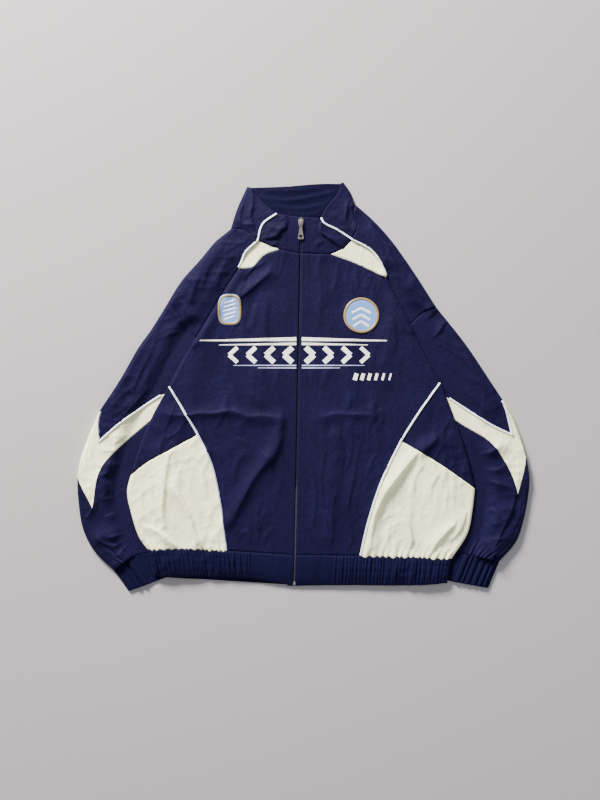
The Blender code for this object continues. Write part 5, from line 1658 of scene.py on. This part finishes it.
# Rayon embroidery, machine stitched: packed parallel threads that catch the light in one band.
BLUE_SATIN = threaded("pale_blue_satin_stitch", "#6f97d6", "#5580c4", 0.42, 0.45, 3.0)
WHITE_SATIN = threaded("white_satin_stitch", "#eef2f4", "#d6dee6", 0.42, 3.0, 0.45)
GOLD_SATIN = threaded("gold_satin_stitch", "#98824a", "#6e5730", 0.4, 0.45, 3.0)


def cast_metal(name, colour, worn, roughness):
    """Plated zinc: a metal whose tone and roughness wander, as rubbed plating does."""
    made, shader = new_material(name, metallic=1.0)
    grain = add(made, "ShaderNodeTexNoise", {
        "Vector": in_mm(made, 1.6), "Scale": 1.0, "Detail": 5.0,
    })
    toned(made, shader, grain.outputs[0], worn, colour, 0.35, 0.65)
    rough = add(made, "ShaderNodeMapRange", {
        "Value": grain.outputs[0], "To Min": roughness - 0.08, "To Max": roughness + 0.12,
    })
    made.node_tree.links.new(rough.outputs[0], shader.inputs["Roughness"])
    pits = add(made, "ShaderNodeBump", {
        "Height": grain.outputs[0], "Strength": 0.25, "Distance": 0.1 * MM,
    })
    made.node_tree.links.new(pits.outputs[0], shader.inputs["Normal"])
    return made


# Die-cast zinc under satin nickel: a warm grey metal with broad, soft reflections.
ZINC = cast_metal("satin_nickel_plated_zinc", "#c9c3b8", "#a59f95", 0.3)
# Teeth are plated too. Their colour is painted darker than the slider's, as painted shade between
# their many small faces.
TOOTH_METAL_PAINTED_SHADE = cast_metal("nickel_zip_teeth", "#b4b5bd", "#7c7e8a", 0.28)
for node in ("zip_slider", "pull_tab"):
    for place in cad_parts[node].material_slots:
        place.material = ZINC
print("materials in all:", len(bpy.data.materials))

# %% [markdown]
# ## Piping
# The cord is round and stands in the seam, with its flange lying flat to one side. The flange's
# pale blue is a painted shadow of the cord. It is a swept section, with the cord and the flange as
# separate materials on the same mesh.

# %% Piping along the seams
CORD_RADIUS, FLANGE, PIPING_STEP = 1.2, 1.2, 2.2


def cord_section():
    """Across, up and material of the section: round the cord, then back under the flange."""
    turns = np.radians(np.linspace(-30, 250, 10))
    ring = [(CORD_RADIUS * math.cos(t), CORD_RADIUS * (1 + math.sin(t)), 0) for t in turns]
    tip = CORD_RADIUS + FLANGE
    flange = [(-CORD_RADIUS * 0.6, 0.1, 0), (tip, 0.05, 1), (tip, 0.4, 1)]
    return ring + flange + [(CORD_RADIUS * 1.1, 0.5, 1)]


def piping(node, line, towards):
    """A cord with its flange along a seam, lying on the cloth. towards is the flange's side."""
    line = evenly(line, int(run(line)[-1] / PIPING_STEP))
    left = normals(line)
    feet = np.max([resting(line + left * off) for off in (-1.6, 0, 1.6)], axis=0)
    feet = smoothed(feet, 2) - 0.25
    section = cord_section()
    grid = np.array([
        np.column_stack([line + left * a * towards, feet + up]) for a, up, _ in section
    ])
    count = len(line)
    faces = grid_faces(len(section), count, ring=True)
    caps = [[k * count + last for k in range(len(section))] for last in (0, count - 1)]
    piece = new_piece(
        f"{node}_cord", grid.reshape(-1, 3), [*faces, *caps], PIPING_CORD, PIPING_SHADOW_FLANGE
    )
    for number, face in enumerate(piece.data.polygons):
        if number < len(faces):
            face.material_index = section[number // (count - 1)][2]
    work = bmesh.new()
    work.from_mesh(piece.data)
    bmesh.ops.recalc_face_normals(work, faces=work.faces)
    work.to_mesh(piece.data)
    work.free()
    declared(piece, node)
    print(node, "runs", round(run(line)[-1]), "mm")


for s, end in enumerate(SIDES):
    seam, inner_side = SEAM[s], OUTWARD[s]
    side_line = begun_later(joined(seam["piping_upper"], seam["piping_lower"]), TIP_CUT)
    piping(f"piping_side_{end}", side_line, -inner_side)
    round_neck = joined(seam["collar_seam"], seam["yoke_shoulder"][:-2])
    piping(f"piping_neck_{end}", round_neck, inner_side)
    line = joined(seam["notch"], seam["inset_upper"])
    line = past_roll(line, ACROSS[s]["inset_fold"][0], ROLL_POINT)
    # The sleeve's piping ends where the body's edge covers it.
    clear = (distance(line, BODY_SIDE[s]) > 2.5) & ~inside(line, BODY_OUTLINE)
    piping(f"piping_sleeve_{end}", line[clear], -inner_side)
print("piping made")

# %% [markdown]
# ## Zip
# Two woven tapes lie under the plackets, and moulded teeth grip each other between them. Real
# teeth of this size have a pitch of about 1.5 mm. Here they are 2 mm apart so that they show.

# %% Zip tapes
TOOTH_PITCH, TOOTH_LONG, TOOTH_REACH, TOOTH_TALL = 2.0, 1.25, 1.5, 1.5
TAPE_WIDTH = 12.0
TEETH_SHOW, TEETH_SINK = -215, 1.3  # below this height the plackets part and the teeth show
zip_line = evenly(ZIP, 300)


def zip_top(places):
    """Top of the plackets, on the collar and on the body."""
    above = places[:, 1] > corner("zip_neck", 0)[1]
    return np.where(above, collar_height(places, False), body_height(places, False))


def on_zip(y):
    """The point of the zip's middle line at this height up the garment."""
    return float(np.interp(y, zip_line[::-1, 1], zip_line[::-1, 0])), y


def zip_level(point):
    """Height of the plackets' underside at a point."""
    return float(zip_top(np.array([point]))[0]) - CLOTH


for s, end in enumerate(SIDES):
    rows = []
    for off in (0.3, 0.9, 4.0, TAPE_WIDTH):
        place = zip_line + (OUTWARD[s] * off, 0)
        in_band = eased((corner("zip_hem", 0)[1] + 14 - place[:, 1]) / 14)
        bead = 0.5 if off == 0.9 else 0.0
        rows.append(np.column_stack([place, zip_top(place) - CLOTH - 0.45 - 0.9 * in_band + bead]))
    tape = grid_piece(f"zip_tape_{end}_weave", np.array(rows), NAVY_TAPE)
    declared(tape, f"zip_tape_{end}")
    sheet_of(tape, np.array(rows))


print("zip tapes, mm long:", round(float(run(zip_line)[-1])))

# %% [markdown]
# ## Teeth and stops
# Teeth are cast onto the edge of each tape, half a pitch out of step. Two top stops and the box
# at the lower end keep the slider on.

# %% Teeth and stops
def block(middle, half, taper=0.7):
    """The eight corners of a small block whose top is narrower."""
    low = [(x * half[0], y * half[1], -half[2]) for x, y in ((-1, -1), (1, -1), (1, 1), (-1, 1))]
    high = [(x * taper, y * taper, half[2]) for x, y, _ in low]
    return np.array(low + high) + middle


BLOCK_FACES = np.array((
    (3, 2, 1, 0), (4, 5, 6, 7), (0, 1, 5, 4), (1, 2, 6, 5), (2, 3, 7, 6), (3, 0, 4, 7),
))


def blocks_piece(name, blocks, made):
    """All the blocks as one faceted mesh."""
    points = np.concatenate(blocks)
    faces = np.concatenate([BLOCK_FACES + 8 * k for k in range(len(blocks))])
    piece = new_piece(name, points, faces, made)
    piece.data.shade_flat()
    return piece


slider_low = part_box("zip_slider")[0][1] / MM
tooth_rows = np.arange(corner("zip_end", 0)[1] + 9, slider_low + 4, TOOTH_PITCH)
teeth = []
for y in tooth_rows:
    x, _ = on_zip(y)
    high = zip_level((x, y)) - 0.1 - TEETH_SINK * eased((y - TEETH_SHOW) / 60)
    for sign, shift in ((-1, 0.0), (1, TOOTH_PITCH / 2)):
        middle = (x + sign * 0.62, y + shift, high)
        teeth.append(block(middle, (TOOTH_REACH / 2, TOOTH_LONG / 2, TOOTH_TALL / 2)))
# The teeth's darker metal colour is painted shade between their small faces.
declared(blocks_piece("zip_teeth", teeth, TOOTH_METAL_PAINTED_SHADE), None)
stops = []
x, y = on_zip(corner("zip_top", 0)[1] - 1.8)
for sign in (-1, 1):
    stops.append(block((x + sign * 1.3, y, zip_level((x, y))), (0.9, 1.4, 0.8)))
x, y = on_zip(corner("zip_end", 0)[1] + 5)
stops.append(block((x, y, zip_level((x, y)) - 0.9), (2.6, 3.6, 1.1), 0.85))
declared(blocks_piece("zip_stops_and_box", stops, ZINC), None)
print("zip teeth:", len(teeth))

# %% [markdown]
# ## Topstitching
# Stitches are about 3 mm long. Each is a short spindle of thread, pointed where it dives into
# the cloth. All the stitches of one colour are one mesh, which keeps the scene light.

# %% Rows of stitches
STITCH_PITCH, STITCH_LONG, STITCH_WIDE = 3.2, 2.4, 0.55


def stitches(name, lines, made):
    """Rows of spindles along the lines, as one mesh. Returns how many there are."""
    points, faces = [], []
    for line in lines:
        steps = max(2, int(run(line)[-1] / STITCH_PITCH))
        spots = evenly(line, steps * 4)
        high = resting(spots)
        left = normals(spots)
        for k in range(1, len(spots) - 3, 4):
            if high[k : k + 3].min() <= 0:
                continue
            first, middle, last = spots[k], spots[k + 1], spots[k + 2]
            ahead = (last - first) / max(np.linalg.norm(last - first), 1e-6) * STITCH_LONG / 2
            wide = left[k + 1] * STITCH_WIDE / 2
            z = high[k + 1]
            base = len(points)
            points += [
                (*(middle - ahead), high[k] - 0.05), (*(middle + ahead), high[k + 2] - 0.05),
                (*(middle + wide), z + 0.12), (*(middle - wide), z + 0.12),
                (*middle, z + 0.42), (*middle, z - 0.1),
            ]
            for a, b in ((2, 4), (4, 3), (3, 5), (5, 2)):
                faces += [(base, base + b, base + a), (base + 1, base + a, base + b)]
    piece = new_piece(name, points, faces, made)
    declared(piece, None)
    return len(faces) // 8


def aside(line, off):
    """The line moved to its left by so many mm."""
    return line + normals(line) * off


navy_lines = []
for seam, sign in zip(SEAM, OUTWARD):
    for off in (6.0, 14.5):
        navy_lines.append(zip_line[6:-3] + (sign * off, 0))
    for name in ("collar_edge", "collar_front_edge"):
        navy_lines.append(aside(seam[name][2:-2], 4.0 * sign))
    navy_lines.append(aside(joined(seam["neck_inset"], seam["neck_front"])[16:-6], 3.0 * sign))
    navy_lines.append(aside(seam["drop"][10:-4], -3.0 * sign))
    navy_lines.append(aside(seam["piping_lower"][4:-4], -4.6 * sign))
    navy_lines.append(aside(seam["band_bottom"][20:-8], -4.0 * sign))
print("navy stitches:", stitches("navy_topstitching", navy_lines, NAVY_THREAD))

# %% [markdown]
# ## Prints and patches
# The chest print and the two patches are generic: chevrons, tapered stripes and plain bars. A
# print is a ribbon a fraction of a millimetre over the cloth, and it follows every crease. A
# patch is stiffer, so it bridges them, and its satin border stands up.

# %% Ribbons and prints
FLAT_STRIP = (-0.5, -0.17, 0.17, 0.5)


def ribbon(line, widths, lift=0.22, crown=0.0, closed=False, across=FLAT_STRIP, bed=None):
    """Points and faces of a flat or crowned strip along a line, resting on the cloth."""
    left = normals(line, closed)
    widths = np.broadcast_to(widths, len(line))
    rows = []
    for share in across:
        place = line + left * (widths * share)[:, None]
        high = resting(place) if bed is None else bed(place)
        rows.append(np.column_stack([place, high + lift + crown * (1 - (2 * share) ** 2)]))
    grid = np.array(rows)
    if closed:
        grid = grid.transpose(1, 0, 2)
    return grid, grid_faces(*grid.shape[:2], closed)


def strips_piece(name, strips, made):
    """All the strips as one mesh, each turned to face up."""
    points, faces, first = [], [], 0
    for grid, quads in strips:
        flat = grid.reshape(-1, 3)
        a, b, c = flat[quads[0][0]], flat[quads[0][1]], flat[quads[0][2]]
        if np.cross(b - a, c - a)[2] < 0:
            quads = quads[:, ::-1]
        points.append(flat)
        faces.append(quads + first)
        first += len(flat)
    return new_piece(name, np.concatenate(points), np.concatenate(faces), made)


def straight(*points):
    """A line through the points with a place every 2 mm."""
    points = np.array(points, float)
    return evenly(points, max(2, int(run(points)[-1] / 2)))


def taper(line, wide, narrow):
    """Widths along a line, from its first point to its last."""
    return np.linspace(wide, narrow, len(line))


print("a strip runs over", len(straight((0, 0), (100, 0))), "places in 100 mm")

# %% [markdown]
# ## Chest print
# The design is a generic one: tapered stripes, chevrons and thin bars that run out from the zip,
# with a row of slanted blocks below. Screen-printed ink is a thin, even film on the cloth.

# %% Chest print
white, lilac = [], []
zip_x, _ = on_zip(65)
for sign, reach in ((-1, 178), (1, 158)):

    def at(x, y, sign=sign):
        return zip_x + sign * x, y

    long = straight(at(5, 86), at(reach, 83))
    white.append(ribbon(long, taper(long, 7.0, 1.6)))
    second = straight(at(5, 77.5), at(reach - 34, 75.5))
    white.append(ribbon(second, taper(second, 4.6, 1.2)))
    for k in range(4):
        x = 12 + 33 * k
        upper, lower = straight(at(x, 71), at(x + 15, 57.5)), straight(at(x + 15, 57.5), at(x, 44))
        white += [ribbon(upper, 10 - k), ribbon(lower, 10 - k, lift=0.28)]
    for k in range(2):
        bar = straight(at(5, 38.5 - 4.5 * k), at(118 - 44 * k, 38.5 - 4.5 * k))
        lilac.append(ribbon(bar, taper(bar, 2.2, 1.0)))
for k in range(6):
    x = 92 + 12.4 * k
    block_line = straight((x, 12), (x + 3.5, 24))
    white.append(ribbon(block_line, 7.5 - 0.9 * k))
declared(strips_piece("chest_print_white", white, WHITE_PRINT), None)
declared(strips_piece("chest_print_lilac", lilac, LILAC_PRINT), None)
print("print strips:", len(white) + len(lilac))

# %% [markdown]
# ## Patches
# A patch is embroidered on stiff felt and sewn on, so it bridges the small creases. Each is a
# crowned base, a satin-stitched border that stands up from it, and a few satin bars as its motif.

# %% Patches
# name, slot, middle, half width, half height, roundness (2 is an ellipse, more is squarer)
PATCHES = (
    ("patch_left", "pale_patch", (-132, 138), 21, 28, 3.2),
    ("patch_right", "gold_patch", (105, 128), 32, 32, 2.0),
)
BORDER = 4.4


def rounded(centre, half_wide, half_tall, roundness, shrink=1.0, count=72):
    """A superellipse: an oval at a roundness of 2, and nearer a rectangle above that."""
    turn = np.linspace(0, 2 * math.pi, count, endpoint=False)
    power = 2 / roundness
    x, y = (
        np.sign(wave) * np.abs(wave) ** power * half * shrink
        for wave, half in ((np.cos(turn), half_wide), (np.sin(turn), half_tall))
    )
    return np.column_stack([x, y]) + centre


for node, slot, middle, half_wide, half_tall, roundness in PATCHES:
    centre = np.array(middle) - MIDDLE
    shape = (centre, half_wide, half_tall, roundness)
    rings = [rounded(*shape, shrink) for shrink in (0.0, 0.3, 0.55, 0.78, 0.92, 1.0)]
    over = max(float((resting(r) - body_height(r, False)).max()) for r in rings[1:])
    over = min(over, 1.2) + 0.35

    def bed(places, over=over):
        return body_height(places, False) + over

    rows = [np.column_stack([r, bed(r)]) for r in rings]
    rows.append(np.column_stack([rings[-1], resting(rings[-1]) - 0.2]))
    grid = np.array(rows).transpose(1, 0, 2)
    base = grid_piece(f"{node}_base", grid, BLUE_SATIN, ring=True)
    declared(base, node)
    rim = rounded(*shape, 1 - BORDER / 2 / half_wide, 120)
    satin = ribbon(rim, BORDER, 0.05, 0.9, True, (-0.5, -0.42, -0.2, 0.1, 0.35, 0.5), bed)
    declared(strips_piece(f"{node}_border", [satin], GOLD_SATIN), None)
    motifs = []
    if node == "patch_left":
        for k in range(-2, 3):
            reach = 12 - 1.6 * abs(k)
            motifs.append(straight(centre + (-reach, 7.2 * k - 3), centre + (reach, 7.2 * k + 3)))
        widths = 3.0
    else:
        for k in range(3):
            low = centre + (0, 13 - 12 * k)
            wing = 17 - 1.5 * k
            motifs += [straight(low, low + (-wing, -9)), straight(low, low + (wing, -9))]
        widths = 4.4
    shapes = [
        ribbon(line, widths, 0.1, 0.5, False, (-0.5, -0.35, 0, 0.35, 0.5), bed) for line in motifs
    ]
    declared(strips_piece(f"{node}_motif", shapes, WHITE_SATIN), None)
print("patches made")

# %% [markdown]
# ## Floor and light
# A plain pale floor stands for the studio table. One large soft lamp from the upper left makes
# the creases readable, as in the photograph, and a pale sky fills the shadows.

# %% Floor and light
floor = bpy.data.objects.new("floor", bpy.data.meshes.new("floor"))
FLOOR_REACH, FLOOR_LEVEL = 3.0, -0.0005  # metres, just under the cloth
ends = (-FLOOR_REACH, FLOOR_REACH)
floor.data.from_pydata(
    [(x, y, FLOOR_LEVEL) for y in ends for x in ends], [], [(0, 1, 3, 2)],
)
bpy.context.scene.collection.objects.link(floor)
PALE_FLOOR, floor_shader = new_material("pale_painted_board", roughness=0.9)
floor_shader.inputs["Base Color"].default_value = linear("#a3a0a4")
floor.data.materials.append(PALE_FLOOR)


def soft_lamp(name, place, size, watts, colour):
    """A square lamp at a place in metres, aimed at the garment's middle."""
    lamp = bpy.data.lights.new(name, "AREA")
    lamp.shape, lamp.size, lamp.energy, lamp.color = "SQUARE", size, watts, linear(colour)[:3]
    thing = bpy.data.objects.new(name, lamp)
    thing.location = place
    thing.rotation_euler = (-Vector(place)).to_track_quat("-Z", "Y").to_euler()
    bpy.context.scene.collection.objects.link(thing)


soft_lamp("key_lamp", (-1.5, 2.6, 1.45), 0.8, 545, "#fffaf0")
soft_lamp("fill_lamp", (1.6, -0.9, 1.8), 1.6, 12, "#f0f3ff")
sky = bpy.context.scene.world or bpy.data.worlds.new("studio")
bpy.context.scene.world = sky
sky.use_nodes = True
sky.node_tree.nodes["Background"].inputs["Color"].default_value = linear("#f2f2f6")
sky.node_tree.nodes["Background"].inputs["Strength"].default_value = 0.54
print("pieces:", len(PARTS))

# %% [markdown]
# ## The end
# The triangles of all the pieces are counted.

# %% Triangles
print("triangles:", sum(len(f.vertices) - 2 for p in PARTS.values() for f in p.data.polygons))
